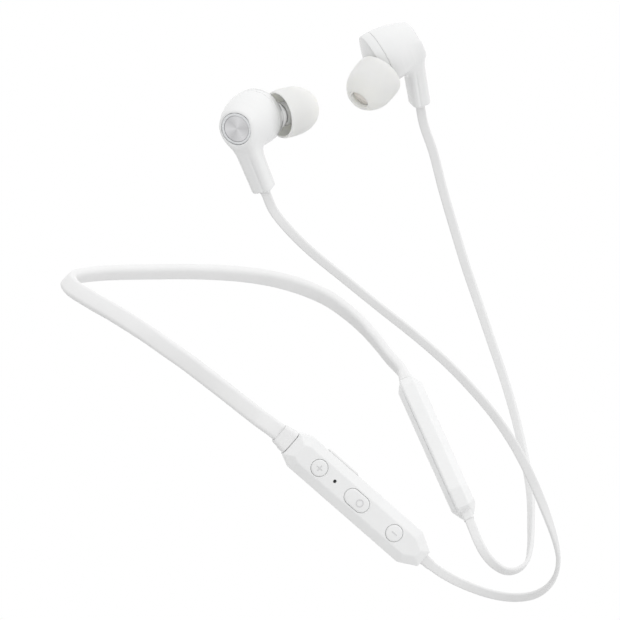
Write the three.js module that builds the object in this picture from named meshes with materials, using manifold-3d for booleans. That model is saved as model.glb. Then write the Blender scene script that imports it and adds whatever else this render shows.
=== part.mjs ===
// Bluetooth neckband earphones, as they sit on a wearer who faces +X.
// Millimetres, +Z up. The origin is the middle of the band's inner face at the nape of the neck.
import * as THREE from "three";
import { ConvexGeometry } from "three/addons/geometries/ConvexGeometry.js";
import { mergeVertices } from "three/addons/utils/BufferGeometryUtils.js";
import Module from "manifold-3d";

const wasm = await Module();
wasm.setup();

// ---- Driving dimensions ----
const GAP = 0.3; // clearance between neighbouring pieces
const SEAM = 0.1; // half the parting gap between two casing shells
const FIT = 0.1; // clearance between stacked pieces inside a casing

// Neckband ribbon: a flat oval sleeve over a springy wire and a lead
const BAND_WIDTH = 4.4;
const BAND_THICK = 2.3;
const BAND_CORE = 0.9; // diameter of the wire and of the lead
const BAND_CORE_SPACING = 1.9; // between the wire's and the lead's centres
const BAND_STEPS = 56;
// Half of the ribbon's centre line, from the nape forward, for the right side: x, y, z
const BAND_HALF = [
  [2.6, -11.5, -0.9],
  [12.6, -25.2, -2.0],
  [21.5, -35.6, -3.1],
  [29.0, -43.6, -4.5],
  [35.6, -49.3, -6.3],
  [41.5, -53.2, -8.6],
  [47.0, -55.2, -11.3],
  [51.6, -55.6, -14.3],
  [56.0, -55.0, -17.6],
  [60.0, -53.6, -21.0],
  [64.0, -51.6, -24.6],
];
const BAND_LEAN = 44; // degrees that the outer face leans up towards the sky
const BAND_LEAN_KEPT = 0.3; // share of each arm, from the nape, that keeps this lean
const BAND_LEAN_SET = 0.62; // share of each arm where the lean is the casing's own

// The two in-line casings are the same bevelled shape
const CASE_LENGTH = 43.7;
const CASE_WIDTH = 9.6;
const CASE_THICK = 6.3;
const CASE_BEVEL_ACROSS = 2.3; // bevel's size across the width
const CASE_BEVEL_DEEP = 1.6; // bevel's size through the thickness
const CASE_PARTING = -2.0; // height of the joint between a casing's two shells
const CASE_WALL = 1.0;
const CASE_NECK_WIDTH = 6.6; // width at the ribbon's end
const CASE_NECK_TAPER = 3.4;
const CASE_TAIL_WIDTH = 4.6; // width at the cord's end
const CASE_TAIL_TAPER = 4.6;
const COLLAR_LENGTH = 3.5;

// Where each casing starts, which way it runs, and which way its outer face looks
const CONTROL_START = [70.4, -46.5, -31.2];
const CONTROL_AXIS = [0.661, 0.343, -0.668];
const CONTROL_FACE = [0.47, -0.88, 0.0];
const BATTERY_START = [70.7, 46.3, -30.5];
const BATTERY_AXIS = [0.527, -0.594, -0.608];
const BATTERY_FACE = [0.851, 0.34, 0.4];

// Buttons, along the control casing from the ribbon's end
const ROUND_BUTTON_RADIUS = 2.1;
const PILL_WIDTH = 4.1;
const PILL_LENGTH = 7.0;
const VOLUME_UP_AT = 8.8;
const VOLUME_DOWN_AT = CASE_LENGTH - 10.2;
const PLAY_AT = (VOLUME_UP_AT + VOLUME_DOWN_AT) / 2;
const MIC_AT = 13.9;
const BUTTON_PROUD = 0.3;
const MIC_HOLE_RADIUS = 0.45;

// Charging port on the control casing's upper side, under a rubber cover
const PORT_START = 8.2;
const PORT_COVER_LENGTH = 9.4;
const PORT_COVER_HEIGHT = 2.9;
const PORT_COVER_THICK = 0.6;
const PORT_COVER_PROUD = 0.35;
const CONNECTOR_LENGTH = 7.4;
const CONNECTOR_HEIGHT = 2.1;
const CONNECTOR_DEPTH = 2.4;
const CONNECTOR_WALL = 0.3;

// Boards, key strip and cell
const BOARD_THICK = 0.6;
const BOARD_WIDTH = 6.2;
const BOARD_START = 5.2;
const BOARD_END = CASE_LENGTH - 5.2;
const BOARD_MIDDLE = -0.8; // height of the control board's middle
const RADIO_LENGTH = 9;
const RADIO_WIDTH = 5.4;
const RADIO_HEIGHT = 1.1;
const RADIO_END = CASE_LENGTH - 11.7;
const KEY_STRIP_PAST = 3.4; // how far the key strip runs on past the outer buttons
const MEMBRANE_WIDTH = 5.0;
const MEMBRANE_THICK = 0.2;
const FLEX_WIDTH = 4.6;
const FLEX_THICK = 0.15;
const DOME_RADIUS = 1.5;
const DOME_TOP_RADIUS = 1.0;
const DOME_HEIGHT = 0.2;
const MIC_RADIUS = 1.0;
const CELL_START = 5.4;
const CELL_LENGTH = CASE_LENGTH - 15.2;
const CELL_WIDTH = 6.0;
const CELL_THICK = 2.6;
const CELL_BOARD_LENGTH = 3.4;
const CELL_BOARD_WIDTH = 5.0;
const PAD_WIDTH = 3.8;
const PAD_SHORT = 2.6; // how far the foam pad stops short of each end of the cell

// Flat cords between the casings and the earpieces
const CORD_WIDTH = 2.3;
const CORD_THICK = 1.0;
const RELIEF_LENGTH = 2.4;
const RELIEF_WALL = 0.35;
const CORD_HOLE = 0.2; // clearance round a cord's way through a wall

// Earpiece, in its own frame: x runs from the cap to the front, y towards the nozzle, z down the stem
const CAP_PLANE = 9.7; // distance from the housing's joint back to the cap
const CAP_RADIUS = 3.95;
const CAP_RING_WIDTH = 0.7;
const DRUM_RADIUS = 7.0;
const DRUM_BACK_RADIUS = 4.7;
const DRUM_WALL = 0.9;
const DRUM_BACK_WALL = 1.9; // behind the driver, with the cap's recess in it
// The drum's side, from the cap to the joint: share of the way back, and how far it is drawn in
const DRUM_STATIONS = [
  [1, DRUM_RADIUS - DRUM_BACK_RADIUS],
  [0.62, 1.0],
  [0.31, 0.2],
  [0, 0],
];
const STEM_DIRECTION = [0.206, 0.162, 0.965];
const STEM_LENGTH = 17.2;
const STEM_WIDTH = 5.4; // at the cord's end
const STEM_ROOT_WIDTH = 6.4;
const STEM_DEPTH = 4.6;
const STEM_BACK = 0.7; // how far the stem stands behind the cap's plane
const STEM_BORE_START = 4.4;
const GROMMET_LENGTH = 0.6;
const RIM_LENGTH = 2.3; // straight part of the front housing, ahead of the joint
const TIP_CENTRE = [6.4, 7.45];
const NOZZLE_ANGLE = 29.3; // degrees between the housing's axis and the nozzle
const NOZZLE_RADIUS = 2.1;
const NOZZLE_WALL = 0.6;
const NOZZLE_REACH = 4.6; // past the ear tip's centre
const TIP_BACK = -4.1; // ear tip's rim, from its centre
const TIP_FRONT = 6.1;
const TIP_RADIUS = 6.05;
const TIP_BORE = NOZZLE_RADIUS + GAP;
const TIP_SLEEVE_WALL = 0.6;
const TIP_SLEEVE_BACK = -3.2;
const DRIVER_RADIUS = DRUM_RADIUS - DRUM_WALL - 0.5;
const MAGNET_RADIUS = DRIVER_RADIUS - 1.4;

// Where each earpiece's joint is, its x and y directions, and which way along z its stem runs
const RIGHT_BUD = {
  at: [62.7, -52.0, 48.7],
  axis: [0.125, 0.982, 0.14],
  side: [0.988, -0.135, 0.072],
  turn: 1,
};
const LEFT_BUD = {
  at: [61.7, 52.0, 49.8],
  axis: [-0.746, -0.497, -0.444],
  side: [0.661, -0.638, -0.396],
  turn: -1,
};

// Cord routes, chosen by hand: x, y, z, and the twist in degrees of the flat face
const RIGHT_CORD = [
  [101.3, -30.5, -62.4, 0],
  [103.7, -29.0, -64.4, 4],
  [106.6, -27.7, -66.2, 10],
  [110.2, -26.7, -67.8, 16],
  [115.0, -26.3, -69.2, 20],
  [120.6, -26.6, -69.7, 26],
  [126.2, -27.8, -68.7, 40],
  [130.6, -29.8, -66.0, 66],
  [133.4, -32.0, -62.2, 84],
  [134.6, -34.2, -58.0, 84],
  [134.5, -36.6, -53.3, 68],
  [133.5, -39.0, -47.8, 44],
  [132.0, -41.4, -42.0, 20],
  [129.9, -43.8, -35.6, 0],
  [126.8, -46.0, -28.6, -14],
  [122.8, -48.0, -21.9, -22],
  [117.8, -50.0, -15.4, -24],
  [111.7, -51.8, -8.8, -24],
  [104.2, -53.2, -2.3, -24],
  [95.8, -54.2, 4.1, -24],
  [87.0, -54.6, 10.7, -22],
  [78.0, -54.4, 17.3, -16],
  [72.4, -53.5, 21.9, -8],
  [68.1, -53.0, 26.6, 0],
  [66.7, -54.4, 30.8, 0],
];
const LEFT_CORD = [
  [95.3, 18.6, -58.9, 0],
  [97.0, 16.6, -61.1, 2],
  [99.1, 14.1, -63.6, 6],
  [101.5, 12.1, -66.1, 12],
  [104.2, 10.9, -68.2, 24],
  [107.1, 10.9, -69.6, 44],
  [109.6, 12.0, -69.4, 68],
  [111.2, 14.4, -67.7, 90],
  [111.1, 17.6, -64.7, 110],
  [109.8, 22.4, -60.2, 126],
  [108.3, 27.0, -54.7, 134],
  [105.9, 32.6, -49.9, 140],
  [102.5, 38.8, -43.8, 146],
  [98.4, 45.0, -36.2, 152],
  [94.0, 50.2, -28.2, 156],
  [89.5, 54.4, -20.1, 158],
  [85.1, 58.0, -11.6, 160],
  [80.9, 60.8, -2.9, 162],
  [77.1, 63.0, 6.3, 165],
  [73.7, 64.4, 15.7, 168],
  [70.9, 65.1, 25.0, 172],
  [68.7, 64.4, 31.8, 178],
  [68.4, 62.7, 36.3, 180],
];
const CORD_FACE = [0.31, -0.94, 0.15]; // the way a cord's flat face looks before its twist
const CORD_STEPS = 64;

const ROUND_SIDES = 20;

// ---- Materials ----
const white = (roughness) => new THREE.MeshStandardMaterial({ color: 0xe9eaea, roughness });
const rubber = (color = 0xe6e6e6) => new THREE.MeshStandardMaterial({ color, roughness: 0.7 });
const metal = (color = 0xb4b6b8) => new THREE.MeshStandardMaterial({ color, roughness: 0.3, metalness: 1 });
const board = () => new THREE.MeshStandardMaterial({ color: 0x2f5d46, roughness: 0.6 });
const dark = () => new THREE.MeshStandardMaterial({ color: 0x2a2a2c, roughness: 0.6 });

// ---- Solids ----
function toSolid(geometry) {
  const bare = geometry.clone();
  for (const name of Object.keys(bare.attributes)) if (name !== "position") bare.deleteAttribute(name);
  const merged = mergeVertices(bare, 1e-4);
  const mesh = new wasm.Mesh({
    numProp: 3,
    vertProperties: new Float32Array(merged.attributes.position.array),
    triVerts: new Uint32Array(merged.index.array),
  });
  return new wasm.Manifold(mesh);
}

function fromSolid(solid) {
  const mesh = solid.getMesh();
  const geometry = new THREE.BufferGeometry();
  geometry.setAttribute("position", new THREE.BufferAttribute(mesh.vertProperties, 3));
  geometry.setIndex(new THREE.BufferAttribute(mesh.triVerts, 1));
  geometry.computeVertexNormals();
  return geometry;
}

function cut(from, ...tools) {
  let solid = toSolid(from);
  for (const tool of tools) solid = solid.subtract(toSolid(tool));
  return fromSolid(solid);
}

function join(...pieces) {
  let solid = toSolid(pieces[0]);
  for (const piece of pieces.slice(1)) solid = solid.add(toSolid(piece));
  return fromSolid(solid);
}

function common(a, b) {
  return fromSolid(toSolid(a).intersect(toSolid(b)));
}

// A box given by its lowest and highest corners.
function box(low, high) {
  const size = high.map((v, i) => v - low[i]);
  const geometry = new THREE.BoxGeometry(...size);
  return geometry.translate(...low.map((v, i) => v + size[i] / 2));
}

// A closed profile of [radius, height] points, turned about +Z.
function turned(profile, sides = ROUND_SIDES) {
  const points = profile.map(([radius, height]) => new THREE.Vector2(radius, height));
  return new THREE.LatheGeometry(points, sides).rotateX(Math.PI / 2);
}

function disc(radius, low, high, sides = ROUND_SIDES) {
  return turned([[0, low], [radius, low], [radius, high], [0, high]], sides);
}

// An annular ring between two radii.
function ring(inner, outer, low, high, sides = ROUND_SIDES) {
  return turned([[inner, low], [outer, low], [outer, high], [inner, high], [inner, low]], sides);
}

function roundedRectangle(width, height, corner) {
  const shape = new THREE.Shape();
  const x = width / 2;
  const y = height / 2;
  shape.moveTo(-x + corner, -y);
  shape.lineTo(x - corner, -y);
  shape.absarc(x - corner, -y + corner, corner, -Math.PI / 2, 0);
  shape.absarc(x - corner, y - corner, corner, 0, Math.PI / 2);
  shape.absarc(-x + corner, y - corner, corner, Math.PI / 2, Math.PI);
  shape.absarc(-x + corner, -y + corner, corner, Math.PI, 1.5 * Math.PI);
  return shape;
}

// A pill outline along x, extruded from one height to another.
function pill(length, width, low, high) {
  const shape = roundedRectangle(length, width, width / 2 - 1e-3);
  const options = { depth: high - low, bevelEnabled: false, curveSegments: 6 };
  return new THREE.ExtrudeGeometry(shape, options).translate(0, 0, low);
}

// ---- Ribbons: a smooth curve whose flat face is aimed at each point ----
class RibbonCurve extends THREE.CatmullRomCurve3 {
  constructor(points, faceAt) {
    super(points, false, "centripetal");
    this.faceAt = faceAt;
  }

  computeFrenetFrames(steps) {
    const frames = { tangents: [], normals: [], binormals: [] };
    for (let i = 0; i <= steps; i += 1) {
      const along = i / steps;
      const tangent = this.getTangentAt(along);
      const normal = this.faceAt(this.getUtoTmapping(along), tangent);
      frames.tangents.push(tangent);
      frames.normals.push(normal);
      frames.binormals.push(tangent.clone().cross(normal));
    }
    return frames;
  }
}

const vector = (list) => new THREE.Vector3(list[0], list[1], list[2]);

// Reads a list of values at a fraction of the way through it.
function readAlong(values, fraction) {
  const at = fraction * (values.length - 1);
  const low = Math.min(Math.floor(at), values.length - 2);
  return THREE.MathUtils.lerp(values[low], values[low + 1], at - low);
}

function squareTo(direction, tangent) {
  return direction.clone().addScaledVector(tangent, -direction.dot(tangent)).normalize();
}

function bandPoints() {
  const control = vector(CONTROL_START).addScaledVector(vector(CONTROL_AXIS), -COLLAR_LENGTH - 1);
  const battery = vector(BATTERY_START).addScaledVector(vector(BATTERY_AXIS), -COLLAR_LENGTH - 1);
  const into = CASE_WALL + GAP;
  const right = BAND_HALF.map(vector);
  const left = BAND_HALF.map(([x, y, z]) => new THREE.Vector3(x, -y, z));
  return [
    vector(CONTROL_START).addScaledVector(vector(CONTROL_AXIS), into),
    control,
    ...right.slice().reverse(),
    new THREE.Vector3(-BAND_THICK / 2, 0, -0.6),
    ...left,
    battery,
    vector(BATTERY_START).addScaledVector(vector(BATTERY_AXIS), into),
  ];
}

const UP = new THREE.Vector3(0, 0, 1);

// How far a face leans up from level, on a ribbon that runs from right to left round the nape.
function leanOf(face, tangent) {
  const level = UP.clone().cross(tangent).normalize();
  const upright = tangent.clone().cross(level);
  return Math.atan2(face.dot(upright), face.dot(level));
}

const BAND_POINTS = bandPoints();
const rightEndLean = leanOf(vector(CONTROL_FACE), vector(CONTROL_AXIS).normalize().negate());
const leftEndLean = leanOf(vector(BATTERY_FACE), vector(BATTERY_AXIS).normalize());
const bandLeans = BAND_POINTS.map((_, i) => {
  const nape = (BAND_POINTS.length - 1) / 2;
  const outward = Math.abs(nape - i) / nape;
  const blend = THREE.MathUtils.clamp((outward - BAND_LEAN_KEPT) / (BAND_LEAN_SET - BAND_LEAN_KEPT), 0, 1);
  const endLean = i < nape ? rightEndLean : leftEndLean;
  return THREE.MathUtils.lerp(THREE.MathUtils.degToRad(BAND_LEAN), endLean, blend);
});
const bandCurve = new RibbonCurve(BAND_POINTS, (fraction, tangent) => {
  const outward = UP.clone().cross(tangent).normalize();
  return outward.applyAxisAngle(tangent, readAlong(bandLeans, fraction));
});

function cordCurve(route) {
  const twists = route.map((point) => point[3]);
  return new RibbonCurve(route.map(vector), (fraction, tangent) => {
    const twist = THREE.MathUtils.degToRad(readAlong(twists, fraction));
    return squareTo(vector(CORD_FACE), tangent).applyAxisAngle(tangent, twist);
  });
}

function swept(shape, curve, steps, curveSegments = 3) {
  return new THREE.ExtrudeGeometry(shape, { steps, bevelEnabled: false, extrudePath: curve, curveSegments });
}

// An oval or round section whose x is the ribbon's thin way and y its wide way.
function ovalSection(thick, wide, sides, centre = 0) {
  return Array.from({ length: sides }, (_, i) => {
    const angle = (2 * Math.PI * i) / sides;
    return new THREE.Vector2((thick / 2) * Math.cos(angle), centre + (wide / 2) * Math.sin(angle));
  });
}

function bandSection() {
  const shape = new THREE.Shape(roundedRectangle(BAND_THICK, BAND_WIDTH, BAND_THICK * 0.42).getPoints(2));
  const bore = BAND_CORE + 2 * GAP;
  for (const side of [-1, 1]) {
    shape.holes.push(new THREE.Path(ovalSection(bore, bore, 6, (side * BAND_CORE_SPACING) / 2)));
  }
  return shape;
}

// ---- Assembly helpers ----
const product = new THREE.Group();

function add(parent, name, geometry, material) {
  const mesh = new THREE.Mesh(geometry, material);
  mesh.name = name;
  parent.add(mesh);
  return mesh;
}

// A group at a point, with its x along one direction and its z near another.
function placed(at, xAxis, zAxis) {
  const x = vector(xAxis).normalize();
  const z = squareTo(vector(zAxis), x);
  const y = z.clone().cross(x);
  const group = new THREE.Group();
  group.quaternion.setFromRotationMatrix(new THREE.Matrix4().makeBasis(x, y, z));
  group.position.copy(vector(at));
  product.add(group);
  return group;
}

// ---- Neckband ----
add(product, "neckband_sleeve", swept(bandSection(), bandCurve, BAND_STEPS), rubber());
const cores = { memory_wire: [-1, metal()], neckband_lead: [1, dark()] };
for (const [name, [side, material]] of Object.entries(cores)) {
  const section = new THREE.Shape(ovalSection(BAND_CORE, BAND_CORE, 6, (side * BAND_CORE_SPACING) / 2));
  add(product, name, swept(section, bandCurve, BAND_STEPS), material);
}

// ---- Casings: x along the casing, y across it, z out of its outer face ----
// The casing's outline seen on its face, with each of its sides moved in by an inset.
function casingOutline(inset) {
  const tail = CASE_LENGTH - CASE_TAIL_TAPER;
  const lower = [
    [0, -CASE_NECK_WIDTH / 2],
    [CASE_NECK_TAPER, -CASE_WIDTH / 2],
    [tail, -CASE_WIDTH / 2],
    [CASE_LENGTH, -CASE_TAIL_WIDTH / 2],
  ].map(([x, y]) => new THREE.Vector2(x, y));
  const upper = lower.map(({ x, y }) => new THREE.Vector2(x, -y)).reverse();
  const corners = [...lower, ...upper];
  return corners.map((corner, i) => {
    const before = corner.clone().sub(corners.at(i - 1)).normalize();
    const after = corners[(i + 1) % corners.length].clone().sub(corner).normalize();
    const outBefore = new THREE.Vector2(before.y, -before.x);
    const outAfter = new THREE.Vector2(after.y, -after.x);
    const mitre = outBefore.clone().add(outAfter).divideScalar(1 + outBefore.dot(outAfter));
    return corner.clone().addScaledVector(mitre, -inset);
  });
}

// The bevelled casing, with each of its faces moved in by an inset.
function casingSolid(inset) {
  const grow = inset * Math.hypot(1 / CASE_BEVEL_ACROSS, 1 / CASE_BEVEL_DEEP);
  const deep = CASE_BEVEL_DEEP * (1 + grow - inset / CASE_BEVEL_ACROSS);
  const across = CASE_BEVEL_ACROSS * (1 + grow - inset / CASE_BEVEL_DEEP);
  const edge = casingOutline(inset);
  const flat = casingOutline(across);
  const layer = (outline, height) => outline.map(({ x, y }) => new THREE.Vector3(x, y, height));
  const top = CASE_THICK / 2;
  return new ConvexGeometry([
    ...layer(flat, -top + inset),
    ...layer(edge, -top + deep),
    ...layer(edge, top - deep),
    ...layer(flat, top - inset),
  ]);
}

const FAR = 100;
const aboveParting = box([-FAR, -FAR, CASE_PARTING + SEAM], [FAR, FAR, FAR]);
const belowParting = box([-FAR, -FAR, -FAR], [FAR, FAR, CASE_PARTING - SEAM]);

function casingShell(side, ...cuts) {
  const neckHole = box(
    [-FAR, -BAND_WIDTH / 2 - GAP, -BAND_THICK / 2 - GAP],
    [CASE_WALL + 3, BAND_WIDTH / 2 + GAP, BAND_THICK / 2 + GAP],
  );
  const tailHole = box(
    [CASE_LENGTH - CASE_WALL - 3, -CORD_WIDTH / 2 - CORD_HOLE, -CORD_THICK / 2 - CORD_HOLE],
    [CASE_LENGTH + FAR, CORD_WIDTH / 2 + CORD_HOLE, CORD_THICK / 2 + CORD_HOLE],
  );
  return cut(common(casingSolid(0), side), casingSolid(CASE_WALL), neckHole, tailHole, ...cuts);
}

// The stepped sleeve over the ribbon where it enters a casing.
function collar() {
  const shape = roundedRectangle(BAND_WIDTH + 1.6, BAND_THICK + 1.4, 1.2);
  const options = { depth: COLLAR_LENGTH, bevelEnabled: false, curveSegments: 3 };
  const outer = new THREE.ExtrudeGeometry(shape, options);
  const bore = box(
    [-BAND_WIDTH / 2 - GAP, -BAND_THICK / 2 - GAP, -FAR],
    [BAND_WIDTH / 2 + GAP, BAND_THICK / 2 + GAP, FAR],
  );
  const tube = cut(outer, bore);
  // Turn the extrusion's z to run back along the ribbon and its x across the casing.
  return tube.rotateY(-Math.PI / 2).rotateX(Math.PI / 2).translate(-GAP, 0, 0);
}

// The small soft nub round a cord where it leaves a casing.
function cordRelief() {
  const shape = roundedRectangle(CORD_WIDTH + 2 * RELIEF_WALL, CORD_THICK + 2 * RELIEF_WALL, 0.7);
  const options = { depth: RELIEF_LENGTH, bevelEnabled: false, curveSegments: 3 };
  return new THREE.ExtrudeGeometry(shape, options)
    .rotateY(Math.PI / 2)
    .rotateX(Math.PI / 2)
    .translate(CASE_LENGTH + GAP, 0, 0);
}

const casingTop = CASE_THICK / 2;
const cavityTop = casingTop - CASE_WALL;
const membraneTop = cavityTop - 0.3;
const membraneBottom = membraneTop - MEMBRANE_THICK;
const domeBottom = membraneBottom - FIT - DOME_HEIGHT;
const flexBottom = domeBottom - FIT - FLEX_THICK;
const boardTop = BOARD_MIDDLE + BOARD_THICK / 2;

// A flat piece inside a casing, centred across it.
function slab(start, end, width, bottom, top) {
  return box([start, -width / 2, bottom], [end, width / 2, top]);
}

function buildControlCasing() {
  const group = placed(CONTROL_START, CONTROL_AXIS, CONTROL_FACE);
  const roundButtons = { volume_up_button: VOLUME_UP_AT, volume_down_button: VOLUME_DOWN_AT };
  const side = CASE_WIDTH / 2;
  const portMiddle = PORT_START + PORT_COVER_LENGTH / 2;
  const portRecess = box(
    [PORT_START - 0.4, side + PORT_COVER_PROUD - PORT_COVER_THICK - GAP, -PORT_COVER_HEIGHT / 2 - 0.2],
    [PORT_START + PORT_COVER_LENGTH + 0.4, side + 1, PORT_COVER_HEIGHT / 2 + 0.2],
  );
  const portHole = box(
    [portMiddle - CONNECTOR_LENGTH / 2 - GAP, 1, -CONNECTOR_HEIGHT / 2 - GAP],
    [portMiddle + CONNECTOR_LENGTH / 2 + GAP, side + 1, CONNECTOR_HEIGHT / 2 + GAP],
  );
  const buttonHole = disc(ROUND_BUTTON_RADIUS + GAP, 0, casingTop + 1, 24);
  const pillHole = pill(PILL_LENGTH + 2 * GAP, PILL_WIDTH + 2 * GAP, 0, casingTop + 1);
  const faceHoles = [
    ...Object.values(roundButtons).map((at) => buttonHole.clone().translate(at, 0, 0)),
    pillHole.translate(PLAY_AT, 0, 0),
    disc(MIC_HOLE_RADIUS, 0, casingTop + 1, 10).translate(MIC_AT, 0, 0),
  ];
  const frontShell = casingShell(aboveParting, portRecess, portHole, ...faceHoles);
  add(group, "control_front_shell", frontShell, white(0.35));
  add(group, "control_back_shell", casingShell(belowParting), white(0.35));
  add(group, "control_collar", collar(), rubber());
  add(group, "control_cord_relief", cordRelief(), rubber());

  const buttonBottom = membraneTop + GAP;
  const buttonTop = casingTop + BUTTON_PROUD;
  const roundProfile = [
    [0, buttonBottom],
    [ROUND_BUTTON_RADIUS, buttonBottom],
    [ROUND_BUTTON_RADIUS, buttonTop - 0.2],
    [ROUND_BUTTON_RADIUS - 0.2, buttonTop],
    [0, buttonTop],
  ];
  for (const [name, at] of Object.entries(roundButtons)) {
    add(group, name, turned(roundProfile, 24).translate(at, 0, 0), white(0.4));
  }
  const play = pill(PILL_LENGTH, PILL_WIDTH, buttonBottom, buttonTop).translate(PLAY_AT, 0, 0);
  add(group, "play_button", play, white(0.4));

  const keyStart = VOLUME_UP_AT - KEY_STRIP_PAST;
  const keyEnd = VOLUME_DOWN_AT + KEY_STRIP_PAST;
  const membrane = slab(keyStart, keyEnd, MEMBRANE_WIDTH, membraneBottom, membraneTop);
  add(group, "button_membrane", membrane, rubber(0xbfc2c4));
  const flex = slab(keyStart, keyEnd, FLEX_WIDTH, flexBottom, flexBottom + FLEX_THICK);
  add(group, "key_flex_board", flex, board());
  const switches = { volume_up: VOLUME_UP_AT, play: PLAY_AT, volume_down: VOLUME_DOWN_AT };
  const domeProfile = [
    [0, domeBottom],
    [DOME_RADIUS, domeBottom],
    [DOME_TOP_RADIUS, domeBottom + DOME_HEIGHT],
    [0, domeBottom + DOME_HEIGHT],
  ];
  for (const [name, at] of Object.entries(switches)) {
    add(group, `${name}_dome_switch`, turned(domeProfile, 12).translate(at, 0, 0), metal());
  }
  const gauze = disc(MIC_RADIUS, membraneTop + FIT, cavityTop - FIT, 12).translate(MIC_AT, 0, 0);
  add(group, "microphone", gauze, dark());

  const connectorHalf = CONNECTOR_LENGTH / 2;
  const portNotch = box(
    [portMiddle - connectorHalf - GAP, side - 1.2 - CONNECTOR_DEPTH - GAP, -CASE_THICK],
    [portMiddle + connectorHalf + GAP, side, CASE_THICK],
  );
  const mainBoard = slab(BOARD_START, BOARD_END, BOARD_WIDTH, boardTop - BOARD_THICK, boardTop);
  add(group, "control_board", cut(mainBoard, portNotch), board());
  const radioBottom = boardTop + FIT;
  const radioTop = radioBottom + RADIO_HEIGHT;
  const radio = slab(RADIO_END - RADIO_LENGTH, RADIO_END, RADIO_WIDTH, radioBottom, radioTop);
  add(group, "radio_module", radio, metal());
  const connectorOut = side - 1.2;
  const connectorShell = box(
    [portMiddle - connectorHalf, connectorOut - CONNECTOR_DEPTH, -CONNECTOR_HEIGHT / 2],
    [portMiddle + connectorHalf, connectorOut, CONNECTOR_HEIGHT / 2],
  );
  const innerHalf = connectorHalf - CONNECTOR_WALL;
  const innerHeight = CONNECTOR_HEIGHT / 2 - CONNECTOR_WALL;
  const connectorInside = box(
    [portMiddle - innerHalf, connectorOut - CONNECTOR_DEPTH + CONNECTOR_WALL, -innerHeight],
    [portMiddle + innerHalf, FAR, innerHeight],
  );
  const connector = cut(connectorShell, connectorInside);
  add(group, "charging_connector", connector, metal());
  const coverInner = side + PORT_COVER_PROUD - PORT_COVER_THICK;
  const flange = box(
    [PORT_START, coverInner, -PORT_COVER_HEIGHT / 2],
    [PORT_START + PORT_COVER_LENGTH, side + PORT_COVER_PROUD, PORT_COVER_HEIGHT / 2],
  );
  const plugHalf = innerHalf - GAP;
  const plugHeight = innerHeight - 0.15;
  const plug = box(
    [portMiddle - plugHalf, coverInner - 0.9, -plugHeight],
    [portMiddle + plugHalf, coverInner + 0.1, plugHeight],
  );
  add(group, "port_cover", join(flange, plug), rubber());
}

function buildBatteryCasing() {
  const group = placed(BATTERY_START, BATTERY_AXIS, BATTERY_FACE);
  add(group, "battery_front_shell", casingShell(aboveParting), white(0.35));
  add(group, "battery_back_shell", casingShell(belowParting), white(0.35));
  add(group, "battery_collar", collar(), rubber());
  add(group, "battery_cord_relief", cordRelief(), rubber());
  const cellSection = roundedRectangle(CELL_WIDTH, CELL_THICK, 0.6);
  const cellOptions = { depth: CELL_LENGTH, bevelEnabled: false, curveSegments: 2 };
  const cell = new THREE.ExtrudeGeometry(cellSection, cellOptions);
  cell.rotateY(Math.PI / 2).rotateX(Math.PI / 2).translate(CELL_START, 0, 0);
  add(group, "battery_cell", cell, metal(0xc9cbd0));
  const cellEnd = CELL_START + CELL_LENGTH;
  const boardAt = cellEnd + GAP;
  const half = BOARD_THICK / 2;
  const cellBoard = slab(boardAt, boardAt + CELL_BOARD_LENGTH, CELL_BOARD_WIDTH, -half, half);
  add(group, "protection_board", cellBoard, board());
  const padBottom = CELL_THICK / 2 + FIT;
  const pad = slab(CELL_START + PAD_SHORT, cellEnd - PAD_SHORT, PAD_WIDTH, padBottom, cavityTop - FIT);
  add(group, "battery_foam_pad", pad, dark());
}

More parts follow.
